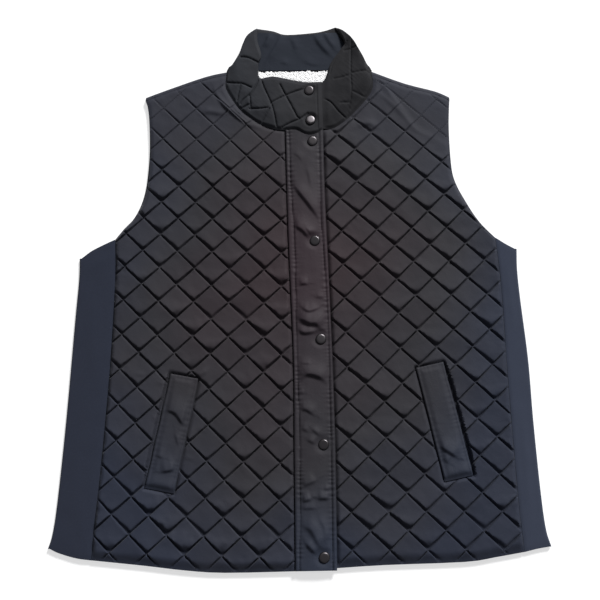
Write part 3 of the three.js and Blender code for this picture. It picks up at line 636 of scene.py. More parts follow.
def quilted_front(side, placket_edges):
    """A front, on a grid that follows its quilting, and its outline."""
    outline = flat_outline("front_" + side)
    count = DIAMOND_CELLS * DIAMOND_STEPS + 1
    share = np.arange(count) / DIAMOND_STEPS
    share -= STEP_CROWDING * np.sin(2 * np.pi * share) / (2 * np.pi)
    v, u = np.meshgrid(V_FROM + share, U_FROM + share, indexing="ij")
    u, v = u.ravel(), v.ravel()
    points = lattice_place(QUILTS[side], u, v)
    points, faces = cut_to(outline, points, grid_faces(count, count))
    height = front_height(side, outline, placket_edges)
    used = np.unique(faces)
    top = np.zeros(len(points))
    top[used] = height(points[used], u[used], v[used])
    piece = closed_cloth(f"front_{side}_quilted", points, top, faces, FRONT_LOW, QUILT_SHARP_ANGLE)
    return piece, outline


def quilt_stitches(side, outline, placket_edges):
    """Stitch rows along the quilting lines, where the front shows."""
    steps = np.arange(0, DIAMOND_CELLS * DIAMOND_STEPS + 1) / DIAMOND_STEPS
    lines = []
    for i in range(DIAMOND_CELLS + 1):
        level = np.full(len(steps), float(i))
        for u, v in ((U_FROM + level, V_FROM + steps), (U_FROM + steps, V_FROM + level)):
            points = lattice_place(QUILTS[side], u, v)
            down, across, length = welt_place(points, side)
            on_welt = (np.abs(across) < WELT_WIDTH / 2 + 1) & (down > -1) & (down < length + 1)
            shown = inside(points, outline) & (nearest(points, outline, closed=True)[0] > 3) & ~on_welt
            if side == "left":
                shown &= nearest(points, placket_edges["left"])[3] < 0
            for run in np.split(np.arange(len(steps)), np.flatnonzero(np.diff(shown.astype(int))) + 1):
                if shown[run[0]] and len(run) > 3:
                    lines.append(points[run])
    return stitches(f"front_{side}_quilt_stitches", lines, at_level(STITCH_TOP + 0.15))


# Back: how far its top rounds down at the rim, and the waves of its rolled shoulder edges
BACK_ROUNDING = 1.6
ROLL_WAVE = 0.35
ROLL_START = 1.0


def back_panel():
    """The back: a plain wall, with a strip along each shoulder that rolls forward to the front's seam."""
    outline = flat_outline("back")
    points, faces = outline_grid(outline, step=5.0, margin=3)
    used = np.unique(faces)
    rim = nearest(points[used], outline, closed=True)[0]
    top = np.zeros(len(points))
    top[used] = BACK_TOP - BACK_ROUNDING * np.exp(-rim / 1.5)
    flat = closed_cloth("back_flat", points, top, faces, 0.0)
    rolls = [shoulder_roll(side, outline) for side in ("right", "left")]
    return joined("back_cloth", [flat, *rolls]), outline


def shoulder_roll(side, outline):
    """The strip of the back that rolls forward over a shoulder, up to the seam with the front."""
    corner = CORNERS[side]
    tip = np.array(corner["tip"]) + (0, SHOULDER_ROLL)
    neck = np.array(corner["neck_high"]) + (0, SHOULDER_ROLL)
    shares = np.linspace(0, 1, 48)
    vertices = []
    for share, (x, y) in zip(shares, point_along(stretch(outline, tip, neck), shares)):
        for turn in np.linspace(0, 1, 8):
            angle = math.pi / 2 * turn
            inward = SHOULDER_ROLL * (1 - math.cos(angle)) - SEAM_GAP
            rise = ROLL_START + (FRONT_LOW + RIM_THICK + 0.2 - ROLL_START) * math.sin(angle)
            rise += ROLL_WAVE * math.sin(share * 40 + 3 * math.sin(share * 11)) * turn
            vertices.append((x, y - inward, rise))
        vertices.append((x, y - SHOULDER_ROLL + SEAM_GAP, BACK_TOP - 0.6))
        vertices.append((x, y - SEAM_GAP, 0.6))
    ring = len(vertices) // len(shares)
    ends = [tuple(range(ring)), tuple(range(len(vertices) - ring, len(vertices)))]
    piece = build(f"shoulder_roll_{side}", vertices, tube_faces(len(shares), ring) + ends)
    outwards(piece)
    return piece


# Knit side panels: one wall round each side fold, from the seam with the front to the seam with the back
KNIT_WALL = 2.2
FOLD_RADIUS = 3.2
KNIT_TOP_AT_SEAM = 7.0
KNIT_ROWS = 118
SIDE_SEAMS = {
    "right": [(-279, -390), (-278, -350), (-274, -290), (-270, -205), (-267, -120), (-266, 0), (-269, 61)],
    "left": [(302, -379), (298, -321), (295, -235), (292, -131), (291, -48), (289, 11), (285, 64)],
}
SIDE_FOLDS = {
    "right": [(-339, -375), (-334, -355), (-330, -310), (-325, -200), (-321, -60), (-319, 0), (-320, 32)],
    "left": [(339, -372), (333, -348), (329, -297), (325, -202), (323, -117), (317, -29), (315, 15),
             (316, 47)],
}
SIDE_HEMS = {
    "right": [(-279, -390), (-303, -387), (-329, -380), (-339, -375)],
    "left": [(302, -379), (320, -375), (339, -372)],
}
SIDE_ARMHOLES = {
    "right": [(-320, 32), (-308, 43), (-290, 52), (-269, 61)],
    "left": [(316, 47), (299, 55), (285, 64)],
}
# Each panel's cut as it shows, top and underside together: its width and length, and its area, in metres
KNIT_CUTS = {"right": ((0.12, 0.45), 0.048), "left": ((0.078, 0.436), 0.0295)}
KNIT_FOLDS = {
    "right": [
        Fold([(-322, -350), (-312, -280), (-308, -200)], 0.9, 12, 9),
        Fold([(-284, -150), (-296, -90), (-304, -20)], 0.8, 12, 8),
        Fold([(-290, -372), (-296, -340), (-300, -300)], 0.6, 10, 8),
        Fold([(-310, 10), (-296, 24), (-280, 34)], 0.6, 9, 6),
    ],
    "left": [
        Fold([(310, -350), (313, -270), (310, -190)], 0.7, 9, 7),
        Fold([(306, -80), (303, -20), (300, 30)], 0.6, 8, 6),
    ],
}


def side_panel(side):
    """A knit panel: a wall from the seam with the front, round the side fold and back underneath."""
    outward = -1 if side == "right" else 1
    seam, fold = smooth_line(SIDE_SEAMS[side]), smooth_line(SIDE_FOLDS[side])
    hem, armhole = smooth_line(SIDE_HEMS[side]), smooth_line(SIDE_ARMHOLES[side])
    flat = np.linspace(0, 1, 13)
    turn = np.linspace(0.5, -0.5, 11)[1:-1] * math.pi
    inner = FOLD_RADIUS - KNIT_WALL
    # Round the wall's section: share of the way from the seam to the fold, how far out, the level, whether
    # that is counted from the top's height, and whether the knit's folds show there
    outside = [(s, 0, 0, 1, 1) for s in flat]
    outside += [(1, FOLD_RADIUS * math.cos(a), FOLD_RADIUS * (1 + math.sin(a)), 0, 0) for a in turn]
    outside += [(s, 0, 0, 0, 0) for s in flat[::-1]]
    within = [(s, 0, -KNIT_WALL, 1, 0) for s in flat]
    within += [(1, inner * math.cos(a), FOLD_RADIUS + inner * math.sin(a), 0, 0) for a in turn]
    within += [(s, 0, KNIT_WALL, 0, 0) for s in flat[::-1]]
    share, out, level, from_top, folded = np.array(outside + within[::-1]).T
    low, high = point_along(hem, share)[:, 1], point_along(armhole, 1 - share)[:, 1]
    up = np.linspace(0, 1, KNIT_ROWS)[:, None]
    y = low + (high - low) * up
    start = np.interp(y, seam[:, 1], seam[:, 0]) + SEAM_GAP * outward
    end = np.interp(y, fold[:, 1], fold[:, 0]) - FOLD_RADIUS * outward
    x = start + (end - start) * share + out * outward
    top = KNIT_TOP_AT_SEAM + (2 * FOLD_RADIUS - KNIT_TOP_AT_SEAM) * share
    relief = fold_rise(np.column_stack([x.ravel(), y.ravel()]), KNIT_FOLDS[side]).reshape(x.shape)
    relief = relief * np.sin(math.pi * np.minimum(share + 0.12, 1)) + 0.25 * noise(x, y, 21, 60)
    relief -= 0.9 * np.exp(-share * 22) + 0.7 * np.exp(-np.minimum(up, 1 - up) * 90)
    z = level + from_top * top + folded * relief
    faces = tube_faces(KNIT_ROWS, len(share))
    for base in (0, (KNIT_ROWS - 1) * len(share)):
        for k in range(len(outside) - 1):
            facing = base + len(share) - 1 - k
            faces.append((base + k, base + k + 1, facing - 1, facing))
    piece = build(f"side_panel_{side}_knit", np.column_stack([x.ravel(), y.ravel(), z.ravel()]), faces)
    outwards(piece)
    return piece


# Snaps: where each cap sits, and the height of its underside
SNAP_RADIUS = 7.5
SNAPS = [(14, 295, 13.6), (16, 247, 12.5), (19, 214, 10.4), (22, 58, 10.4), (30, -88, 10.4), (33, -236, 10.4),
         (33, -386, 10.4)]
SEAT = 2.4


def snap_dent(points, height, seat, snap, reach):
    """A height that comes down to a snap's seat within a reach of the cap."""
    away = np.hypot(points[:, 0] - snap[0], points[:, 1] - snap[1])
    return seat + (height - seat) * smooth_step(SNAP_RADIUS - 1.5, SNAP_RADIUS + reach, away)


# Placket: its thickness, the ridges along its edges, the bulge of its middle, and its stitch lines
PLACKET_THICK = 2.5
EDGE_RIDGE = 0.5
EDGE_ROUNDING = 1.1
MIDDLE_BULGE = 0.8
GROOVE_DEPTH = 1.5
GROOVE_WIDTH = 1.1
PLACKET_PUCKER = 0.9
PLACKET_SEED = 41
PLACKET_HEM_LEFT = (50, -403)


def placket_edge_lines(outline):
    """The placket's long edges, hem to neck: the right one is sewn to the right front, the left is free."""
    right, left = CORNERS["right"], CORNERS["left"]
    sewn = stretch(outline, right["hem_centre"], right["neck_low"])
    free = stretch(outline, PLACKET_HEM_LEFT, left["neck_low"])
    return {"right": sewn, "left": free}


def x_at(line, y):
    """Where a line that runs up the vest is at some heights."""
    order = np.argsort(line[:, 1])
    return np.interp(y, line[order, 1], line[order, 0])


def placket_height(points, edges):
    """Height of the placket: ridges along its edges, grooves at its stitch lines, soft folds between them."""
    rows = [nearest(points, smooth_line(line)) for line in PLACKET_STITCHING]
    edge = np.minimum(nearest(points, edges["right"])[0], nearest(points, edges["left"])[0])
    groove = np.minimum(rows[0][0], rows[1][0])
    between = (rows[0][3] < 0) & (rows[1][3] > 0)
    height = PLACKET_THICK + EDGE_RIDGE * smooth_step(0, 2.2, edge)
    height -= EDGE_ROUNDING * (1 - smooth_step(0, 1.6, edge))
    middle = smooth_step(0, 16, np.where(between, groove, 0))
    height += np.where(between, MIDDLE_BULGE * middle, 0.35 * smooth_step(0, 2.5, groove))
    height -= GROOVE_DEPTH * np.exp(-(groove / GROOVE_WIDTH) ** 2)
    height += np.where(between, 1, 0) * smooth_step(0, 7, groove) * fold_rise(points, PLACKET_FOLDS)
    for (distance, _, reach, _), offset in zip(rows, (0, 7)):
        height += PLACKET_PUCKER * pucker(distance, reach, 6.5, 3.0, PLACKET_SEED + offset)
    height += 0.12 * noise(*points.T, 9, PLACKET_SEED + 5)
    for snap in SNAPS[2:]:
        height = snap_dent(points, height, SEAT, snap, reach=8)
    return PLACKET_LOW + height


def left_to_right(line):
    """A line that runs towards +X."""
    return line if line[0, 0] < line[-1, 0] else line[::-1]


def placket():
    """The placket's band, and the lines of its long edges."""
    outline = flat_outline("placket")
    edges = placket_edge_lines(outline)
    hem = left_to_right(stretch(outline, CORNERS["right"]["hem_centre"], PLACKET_HEM_LEFT))
    neck = left_to_right(stretch(outline, CORNERS["right"]["neck_low"], CORNERS["left"]["neck_low"]))
    columns, rows = 39, 425
    across, along = unit_grid(columns, rows)
    low, high = point_along(hem, across)[:, 1], point_along(neck, across)[:, 1]
    y = low + (high - low) * along
    x_low, x_high = x_at(edges["right"], y), x_at(edges["left"], y)
    points = np.column_stack([x_low + (x_high - x_low) * across, y])
    height = placket_height(points, edges)
    return closed_cloth("placket_band", points, height, grid_faces(rows, columns), PLACKET_LOW), edges


# Pocket welts: their thickness, how it rounds down at the rim, the bulge of the middle, and the stitch lines
WELT_THICK = 2.8
WELT_ROUNDING = 1.1
WELT_BULGE = 1.0
WELT_GROOVE = 0.25
WELT_STITCH_INSET = 3.5
WELT_SEEDS = {"right": 80, "left": 90}


def pocket_welt(side):
    """A plain band that is stitched down along both long edges and bulges between them, and its stitches."""
    top, down, across, length = welt_frame(side)
    columns, rows = 31, 113
    share, up = unit_grid(columns, rows)
    reach, sideways = (1 - up) * length, (share - 0.5) * WELT_WIDTH
    inset = np.minimum(WELT_WIDTH / 2 - np.abs(sideways), np.minimum(reach, length - reach) + 0.6)
    groove = np.abs(WELT_WIDTH / 2 - np.abs(sideways) - WELT_STITCH_INSET)
    middle = smooth_step(WELT_STITCH_INSET, WELT_STITCH_INSET + 7, inset)
    height = WELT_THICK - WELT_ROUNDING * (1 - smooth_step(0, 1.4, inset)) + WELT_BULGE * middle
    height -= WELT_GROOVE * np.exp(-(groove / 0.7) ** 2)
    uphill = (np.dot(UPHILL, down), np.dot(UPHILL, across))
    height += middle * fold_rise(np.column_stack([reach, sideways]), WELTS[side]["folds"], uphill)
    height += 0.22 * pucker(groove, reach + 40 * (sideways > 0), 9, 4.5, 70)
    height += 0.15 * noise(reach, sideways, 12, 71)
    height += 0.25 * pucker(np.minimum(reach, length - reach), sideways, 8, 8, 72)
    # The lower end curls down over a small swelling
    lower_end = length - reach
    height = 1.0 + (height + 0.9 * np.exp(-((lower_end - 9) / 8) ** 2) - 1.0) * smooth_step(-1, 7, lower_end)
    wander = 0.5 * noise(reach, np.sign(sideways) * 50, 24, WELT_SEEDS[side]) * (inset < 0.1)
    points = top + reach[:, None] * down + (sideways + wander)[:, None] * across
    piece = closed_cloth(f"pocket_welt_{side}_band", points, PLACKET_LOW + height, grid_faces(rows, columns),
                         PLACKET_LOW)
    to_stitches = across * (WELT_WIDTH / 2 - WELT_STITCH_INSET)
    lines = [np.array([top + down * d + to_stitches * s for d in (3, length - 3)]) for s in (-1, 1)]
    return piece, stitches(f"pocket_welt_{side}_stitches", lines, at_level(PLACKET_LOW + 2.0))


# Collar: the folded sides, the back band's top edge and seam, and the top edge of each front half
COLLAR_FOLDS = {
    "right": [(-112, 331), (-103, 344), (-93, 362), (-88, 378), (-81, 393), (-66, 405)],
    "left": [(110, 332), (101, 345), (90, 365), (79, 385), (66, 401), (54, 407)],
}
COLLAR_BACK_TOP = [(-66, 405), (-42, 401), (-22, 395), (20, 398), (40, 402), (54, 407)]
COLLAR_BACK_SEAM = [(-112, 331), (-60, 327), (0, 328), (55, 329), (110, 332)]
COLLAR_TOPS = {
    "right": [(33, 310), (5, 310), (-40, 319), (-61, 318), (-63, 342), (-59, 356), (-65, 380), (-66, 405)],
    "left": [(-12, 300), (14, 303), (34, 311), (42, 326), (47, 342), (63, 366), (68, 378), (54, 407)],
}
# Neck seam under each half, from the half's end to its side fold
COLLAR_SEAMS = {
    "right": [(35, 233), (22, 225), (8, 225), (-5, 232), (-22, 232), (-38, 234), (-55, 240), (-72, 251),
              (-90, 266), (-106, 289), (-113, 305), (-112, 324), (-112, 331)],
    "left": [(-12, 238), (12, 238), (32, 236), (52, 237), (71, 251), (89, 270), (102, 286), (111, 304),
             (110, 325), (110, 332)],
}
COLLAR_HEIGHT = 72
COLLAR_LENGTH = 182
COLLAR_EDGE = 1.3
COLLAR_RISE = 3.4
COLLAR_PUFF = 1.9
FLAP_LIFT = 2.7
COLLAR_LEAN = 8.5
UNDERLAP_THICK = 2.1
BAND_ROUNDING = 2.0
# Quilting lines of the collar, its sharp dark creases where the band bends, and its topstitching
COLLAR_QUILTING = {
    "right": [
        [(-43, 275), (-23, 286), (-7, 293), (5, 297)],
        [(-30, 304), (-22, 288), (-13, 270), (-4, 252), (1, 249)],
        [(-26, 236), (-13, 243), (1, 249), (12, 257)], [(-90, 352), (-80, 351), (-68, 345), (-63, 342)],
        [(-111, 311), (-99, 309), (-86, 307), (-74, 301)], [(-90, 306), (-93, 293), (-95, 281)],
        [(-76, 267), (-63, 266), (-49, 267)], [(-76, 288), (-74, 266)], [(-46, 265), (-56, 247), (-59, 242)],
        [(-90, 267), (-76, 274)],
    ],
    "left": [
        [(79, 381), (78, 362), (77, 320), (78, 295), (75, 272), (71, 252)], [(52, 315), (63, 316), (74, 319)],
        [(62, 275), (76, 276)], [(78, 322), (90, 324), (105, 326)], [(68, 362), (78, 364), (88, 366)],
        [(79, 293), (94, 288), (102, 287)],
    ],
}
COLLAR_CREASES = {
    "right": [[(-59, 315), (-55, 302), (-46, 281), (-40, 263), (-35, 238)],
              [(-62, 320), (-66, 306), (-74, 291), (-86, 281), (-90, 275)]],
    "left": [[(33, 284), (46, 277), (57, 263), (71, 251)]],
}
COLLAR_TOPSTITCH = {
    "right": [[(25, 306), (26, 272), (27, 234)], [(24, 305), (5, 305), (-38, 314), (-56, 314)]],
    "left": [[(46, 324), (51, 341), (67, 365), (72, 378)]],
}


def drawn_to(fold, up, pull):
    """How far points move so that the straight end of their grid follows a fold."""
    straight = fold[0] + up[:, None] * (fold[-1] - fold[0])
    return pull[:, None] * (point_along(fold, up) - straight)


def collar_thickness(side, points):
    """Thickness of a front half of the collar, with its quilting, creases and topstitching."""
    x, y = points.T
    lapped = side == "right"
    quilting = distance_to(points, COLLAR_QUILTING[side])
    crease = distance_to(points, COLLAR_CREASES[side])
    stitched = distance_to(points, COLLAR_TOPSTITCH[side])
    puff = COLLAR_PUFF * (1 if lapped else 0.6)
    thick = STITCH_THICK + puff * (1 - np.exp(-(quilting / 1.5) ** 1.5)) * (1 - 0.5 * np.exp(-crease / 2.5))
    thick -= 1.5 * np.exp(-(crease / 1.2) ** 2) + 0.8 * np.exp(-(stitched / 1.0) ** 2)
    thick -= (0.5 if lapped else 0.2) * np.exp(-(quilting / 0.8) ** 2)
    thick += 0.45 * noise(x, y, 17, 100 + lapped) + 0.2 * noise(x, y, 7, 102 + lapped)
    return thick + 0.3 * pucker(quilting, x + y, 9, 5, 104)


def collar_half(side):
    """One front half of the collar, with its rolled side fold."""
    seam, top, fold = (smooth_line(t[side]) for t in (COLLAR_SEAMS, COLLAR_TOPS, COLLAR_FOLDS))
    columns, rows = 230, 88
    share, up = unit_grid(columns, rows)
    base, edge = point_along(seam, share), point_along(top, share)
    points = base + up[:, None] * (edge - base) + drawn_to(fold, up, smooth_step(0.72, 1, share))
    x, y = points.T
    lapped = side == "right"
    lift = FLAP_LIFT * smooth_step(-72, -30, x) if lapped else 0
    low = FRONT_LOW + COLLAR_RISE * smooth_step(0, 25, up * COLLAR_HEIGHT) + lift
    thick = collar_thickness(side, points)
    ends = np.minimum(share * COLLAR_LENGTH, (1 - up) * COLLAR_HEIGHT)
    rounded = smooth_step(-1, 5, ends) * smooth_step(-0.5, 5, up * COLLAR_HEIGHT)
    thick = COLLAR_EDGE + (thick - COLLAR_EDGE) * rounded
    if lapped:
        for snap in SNAPS[:2]:
            thick = snap_dent(points, thick, snap[2] - SEAM_GAP - low, snap, reach=6)
    else:
        # This half leans back: it stands higher towards its side fold
        leaning = smooth_step(0.22, 0.9, share) * smooth_step(0, 0.3, up)
        leaning *= 1 - 0.75 * smooth_step(0.45, 1, up)
        corner = np.hypot(*(points - COLLAR_FOLDS["left"][-1]).T)
        low = FRONT_LOW + (low + COLLAR_LEAN * leaning - FRONT_LOW) * (0.2 + 0.8 * smooth_step(6, 36, corner))
        under = smooth_step(44, 34, x) * (up < 0.97)
        thick = thick + (UNDERLAP_THICK - thick) * under
    rolled = np.clip(1 - (1 - share) * COLLAR_LENGTH / 8, 0, 1) * smooth_step(331, 342, y)
    drop = 1 - np.sqrt(np.clip(1 - rolled ** 2, 0, 1))
    upper = low + thick - drop * (low + thick - 3.0)
    lower = low - smooth_step(0.1, 0.5, rolled) * (low - 1.2)
    upper = np.maximum(upper, lower + 1.0)
    return double_wall(f"collar_half_{side}", points, upper, lower, rows, columns)


def double_wall(name, points, upper, lower, rows, columns):
    """A closed wall between two levels over one grid."""
    count = rows * columns
    quads = grid_faces(rows, columns)
    rim = rim_of(quads)
    wall = [(rim[i - 1], rim[i - 1] + count, rim[i] + count, rim[i]) for i in range(len(rim))]
    vertices = np.vstack([np.column_stack([points, upper]), np.column_stack([points, lower])])
    piece = build(name, vertices, [*quads.tolist(), *(quads[:, ::-1] + count).tolist(), *wall])
    outwards(piece)
    return piece


def collar_back():
    """The back band of the collar, which lies flat between the two side folds."""
    seam, top = smooth_line(COLLAR_BACK_SEAM), smooth_line(COLLAR_BACK_TOP)
    columns, rows = 70, 30
    share, up = unit_grid(columns, rows)
    points = point_along(seam, share) * (1 - up[:, None]) + point_along(top, share) * up[:, None]
    for side, near in (("right", 1 - share), ("left", share)):
        points += drawn_to(smooth_line(COLLAR_FOLDS[side]), up, smooth_step(0.6, 1, near))
    points[:, 0] *= 0.985
    upper = BACK_TOP - BAND_ROUNDING * np.exp(-(1 - up) * COLLAR_HEIGHT / 1.6)
    return double_wall("collar_band_back", points, upper, np.zeros(len(points)), rows, columns)


# Collar lining: how thin it lies where no fold lifts it, and its folds
LINING_THIN = 0.6
LINING_FOLDS = [
    Fold([(-26, 396), (-34, 378), (-44, 360), (-52, 346)], 2.5, 13, 2.6),
    Fold([(-46, 396), (-50, 384), (-57, 370)], 2.3, 8, 2.4),
    Fold([(22, 396), (28, 382), (38, 368), (50, 356)], 2.6, 12, 2.6),
    Fold([(38, 399), (44, 384), (56, 366)], 2.6, 8, 2.6),
    Fold([(-14, 388), (-9, 378), (-7, 366)], 1.3, 7, 2.4),
    Fold([(2, 352), (16, 344), (32, 342)], 1.0, 9, 2.0),
    Fold([(-30, 348), (-18, 343)], 0.9, 6, 2.0),
]


def collar_lining():
    """The plain inner face of the collar, with a few soft folds that run up it."""
    outline = flat_outline("collar_lining")
    points, faces = outline_grid(outline, step=2.0, margin=2)
    rim = nearest(points, outline, closed=True)[0]
    folded = fold_rise(points, LINING_FOLDS) + 0.2 * noise(*points.T, 19, 120)
    height = LINING_THIN + folded * smooth_step(-0.5, 3.5, rim)
    return closed_cloth("collar_lining_cloth", points, FRONT_LOW + height, faces, FRONT_LOW)


# Pile: the number and size of its curls, its base's thickness, and where it starts under the front
TUFTS = 2600
TUFT_SIZE = 1.6
PILE_BASE = 2.4
PILE_FROM = 306


def pile_lining():
    """The pile of the back's lining: short curls of fleece on a plain base."""
    outline = flat_outline("back_lining")
    points, faces = outline_grid(outline, step=3.0, margin=2)
    top = np.full(len(points), FRONT_LOW + PILE_BASE)
    base = closed_cloth("back_lining_cloth", points, top, faces, FRONT_LOW)
    bpy.ops.object.select_all(action="DESELECT")
    bpy.ops.mesh.primitive_ico_sphere_add(subdivisions=1, radius=1.0, location=(0, 0, 0))
    curl = bpy.context.object
    corners = np.array([v.co[:] for v in curl.data.vertices])
    sides = np.array([p.vertices[:] for p in curl.data.polygons])
    bpy.data.objects.remove(curl)
    chance = np.random.default_rng(7)
    places = chance.uniform(outline.min(axis=0), outline.max(axis=0) + (0, 2.5), (4 * TUFTS, 2))
    ragged = 1.0 + 1.4 * noise(places[:, 0], 0 * places[:, 0], 4.5, 131)
    below = places - np.column_stack([0 * ragged, np.maximum(ragged, 0)])
    places = places[inside(below, outline) & (places[:, 1] > PILE_FROM)][:TUFTS]
    vertices, tufts = [], []
    for i, place in enumerate(places):
        size = TUFT_SIZE * chance.uniform(0.6, 1.25)
        turn = chance.uniform(0, 2 * math.pi)
        spin = np.array([[math.cos(turn), -math.sin(turn)], [math.sin(turn), math.cos(turn)]])
        shape = corners * (size, size * chance.uniform(0.5, 0.8), size * 0.3)
        shape[:, :2] = shape[:, :2] @ spin.T + place
        shape[:, 2] += FRONT_LOW + PILE_BASE + chance.uniform(-0.2, 0.1)
        vertices.append(shape)
        tufts.append(sides + i * len(corners))
    pile = build("back_lining_pile", np.vstack(vertices), np.vstack(tufts))
    return base, pile


def snap_cap():
    """A snap's cap: a flat top with a steep rolled edge."""
    bpy.ops.object.select_all(action="DESELECT")
    bpy.ops.mesh.primitive_cylinder_add(vertices=48, radius=SNAP_RADIUS * MM, depth=0.5 * MM,
                                        location=(0, 0, 0.25 * MM))
    cap = bpy.context.object
    cap.name = "snap_cap"
    bpy.ops.object.transform_apply(location=True, rotation=True, scale=True)
    bpy.context.tool_settings.mesh_select_mode = (False, False, True)
    for polygon in cap.data.polygons:
        polygon.select = polygon.normal.z > 0.9
    bpy.ops.object.mode_set(mode="EDIT")
    for inset, rise in ((0.35, 0.75), (0.45, 0.7), (0.5, 0.4), (0.6, 0.25), (1.0, 0.1), (2.0, 0.04)):
        bpy.ops.mesh.inset(thickness=inset * MM)
        bpy.ops.transform.translate(value=(0, 0, rise * MM))
    bpy.ops.object.mode_set(mode="OBJECT")
    bevel = cap.modifiers.new("rim", "BEVEL")
    bevel.width = 0.12 * MM
    bevel.segments = 2
    bevel.limit_method = "ANGLE"
    bevel.angle_limit = math.radians(30)
    bpy.ops.object.modifier_apply(modifier=bevel.name)
    bpy.ops.object.shade_smooth_by_angle(angle=math.radians(50))
    return cap


SNAP_LEANS = [(3, -2), (-6, 3), (6, 3), (6, -4), (4, 3), (7, -4), (5, 3)]


def snap_caps():
    cap = snap_cap()
    caps = []
    for i, ((x, y, z), (lean, roll)) in enumerate(zip(SNAPS, SNAP_LEANS), start=1):
        mesh = cap.data.copy()
        turn = Matrix.Rotation(math.radians(lean), 4, "X") @ Matrix.Rotation(math.radians(roll), 4, "Y")
        mesh.transform(Matrix.Translation((x * MM, y * MM, z * MM)) @ turn)
        caps.append(put(f"snap_cap_{i}", mesh))
    bpy.data.objects.remove(cap)
    return caps


# Materials
def srgb(code):
    """An sRGB hex value as linear red, green, blue and alpha."""
    parts = [int(code[i:i + 2], 16) / 255 for i in (0, 2, 4)]
    return [p / 12.92 if p <= 0.04045 else ((p + 0.055) / 1.055) ** 2.4 for p in parts] + [1.0]


def add(material, kind, inputs=None, **settings):
    """A node with its own settings, whose inputs are values or other nodes' outputs."""
    made = material.node_tree.nodes.new("ShaderNode" + kind)
    for key, value in settings.items():
        setattr(made, key, value)
    for key, value in (inputs or {}).items():
        if isinstance(value, bpy.types.NodeSocket):
            material.node_tree.links.new(value, made.inputs[key])
        else:
            made.inputs[key].default_value = value
    return made


def set_stops(ramp, stops):
    """Gives a colour ramp its stops: places from 0 to 1 with sRGB colours."""
    elements = ramp.color_ramp.elements
    for element, (place, code) in zip(elements, (stops[0], stops[-1])):
        element.position = place
        element.color = srgb(code)
    for place, code in stops[1:-1]:
        elements.new(place).color = srgb(code)


def new_material(name):
    material = bpy.data.materials.new(name)
    material.use_nodes = True
    material.node_tree.nodes.clear()
    return material


# Blender's wave texture has a band every 0.314 of a unit at a scale of 1
WAVE_UNIT = math.pi / 10
# A broken surface of fibres has about half the gloss of a solid one
FIBRE_GLOSS = 0.25
# The collar's width, in metres
COLLAR_SPREAD = 0.22
# How far from the middle of the vest the painted cast of the light turns the black to navy, across and along
LIGHT_CAST_REACH = (0.34, 0.42)


def uneven(material, place, scale, detail, distortion, strength, depth):
    """Random bumps: how many to a metre, how broken and twisted, how strong, and how deep in millimetres."""
    clouds = add(material, "TexNoise", {"Vector": place, "Scale": scale, "Detail": detail,
                                        "Distortion": distortion})
    return add(material, "Bump", {"Height": clouds.outputs["Fac"], "Strength": strength,
                                  "Distance": depth * MM})


def plain_weave(material, place, thread, depth, under):
    """Bumps of a plain weave with threads a given number of millimetres apart, over another bump."""
    scale = WAVE_UNIT / (thread * MM)
    warp = add(material, "TexWave", {"Vector": place, "Scale": scale, "Distortion": 0.4}, bands_direction="X")
    weft = add(material, "TexWave", {"Vector": place, "Scale": scale, "Distortion": 0.4}, bands_direction="Y")
    weave = add(material, "Math", {0: warp.outputs["Fac"], 1: weft.outputs["Fac"]}, operation="MULTIPLY")
    return add(material, "Bump", {"Height": weave.outputs["Value"], "Strength": 0.25, "Distance": depth * MM,
                                  "Normal": under})


def taffeta(name, wine, black, navy, roughness):
    """Polyester taffeta, a tight plain weave of bright filament yarn, calendered on one side.

    It gives a dark cloth with a satin gloss on every turn and fine crushed creases. Its black is painted with
    the
    cast of the light: wine round the placket and navy out towards the armholes, shoulders and hem.
    """
    material = new_material(name)
    place = add(material, "TexCoord").outputs["Object"]
    # Painted cast of the light: warm round the middle of the vest, cool out towards its edges
    spread = add(material, "VectorMath", {0: place, 1: (1 / LIGHT_CAST_REACH[0], 1 / LIGHT_CAST_REACH[1], 0.0)},
                 operation="MULTIPLY")
    away = add(material, "VectorMath", {0: spread.outputs["Vector"]}, operation="LENGTH")
    # Patches 0.2 m across
    patches = add(material, "TexNoise", {"Vector": place, "Scale": 5.0, "Detail": 2.0})
    drift = add(material, "Math", {0: patches.outputs["Fac"], 1: 0.7, 2: -0.35}, operation="MULTIPLY_ADD")
    total = add(material, "Math", {0: drift.outputs["Value"], 1: away.outputs["Value"]}, operation="ADD")
    ramp = add(material, "ValToRGB", {"Fac": total.outputs["Value"]})
    set_stops(ramp, ((0.12, wine), (0.6, black), (1.0, navy)))
    # Crushed creases about 5 mm long
    crushed = uneven(material, place, 190.0, 3.0, 0.8, 0.4, 0.5)
    # The real threads are 0.1 mm apart, too fine to show, so they are drawn at 0.6 mm
    woven = plain_weave(material, place, 0.6, 0.12, crushed.outputs["Normal"])
    shader = add(material, "BsdfPrincipled", {
        "Base Color": ramp.outputs["Color"], "Roughness": roughness, "IOR": 1.5,
        "Specular IOR Level": FIBRE_GLOSS, "Sheen Weight": 0.04, "Sheen Roughness": 0.5,
        "Normal": woven.outputs["Normal"]})
    add(material, "OutputMaterial", {"Surface": shader.outputs["BSDF"]})
    return material


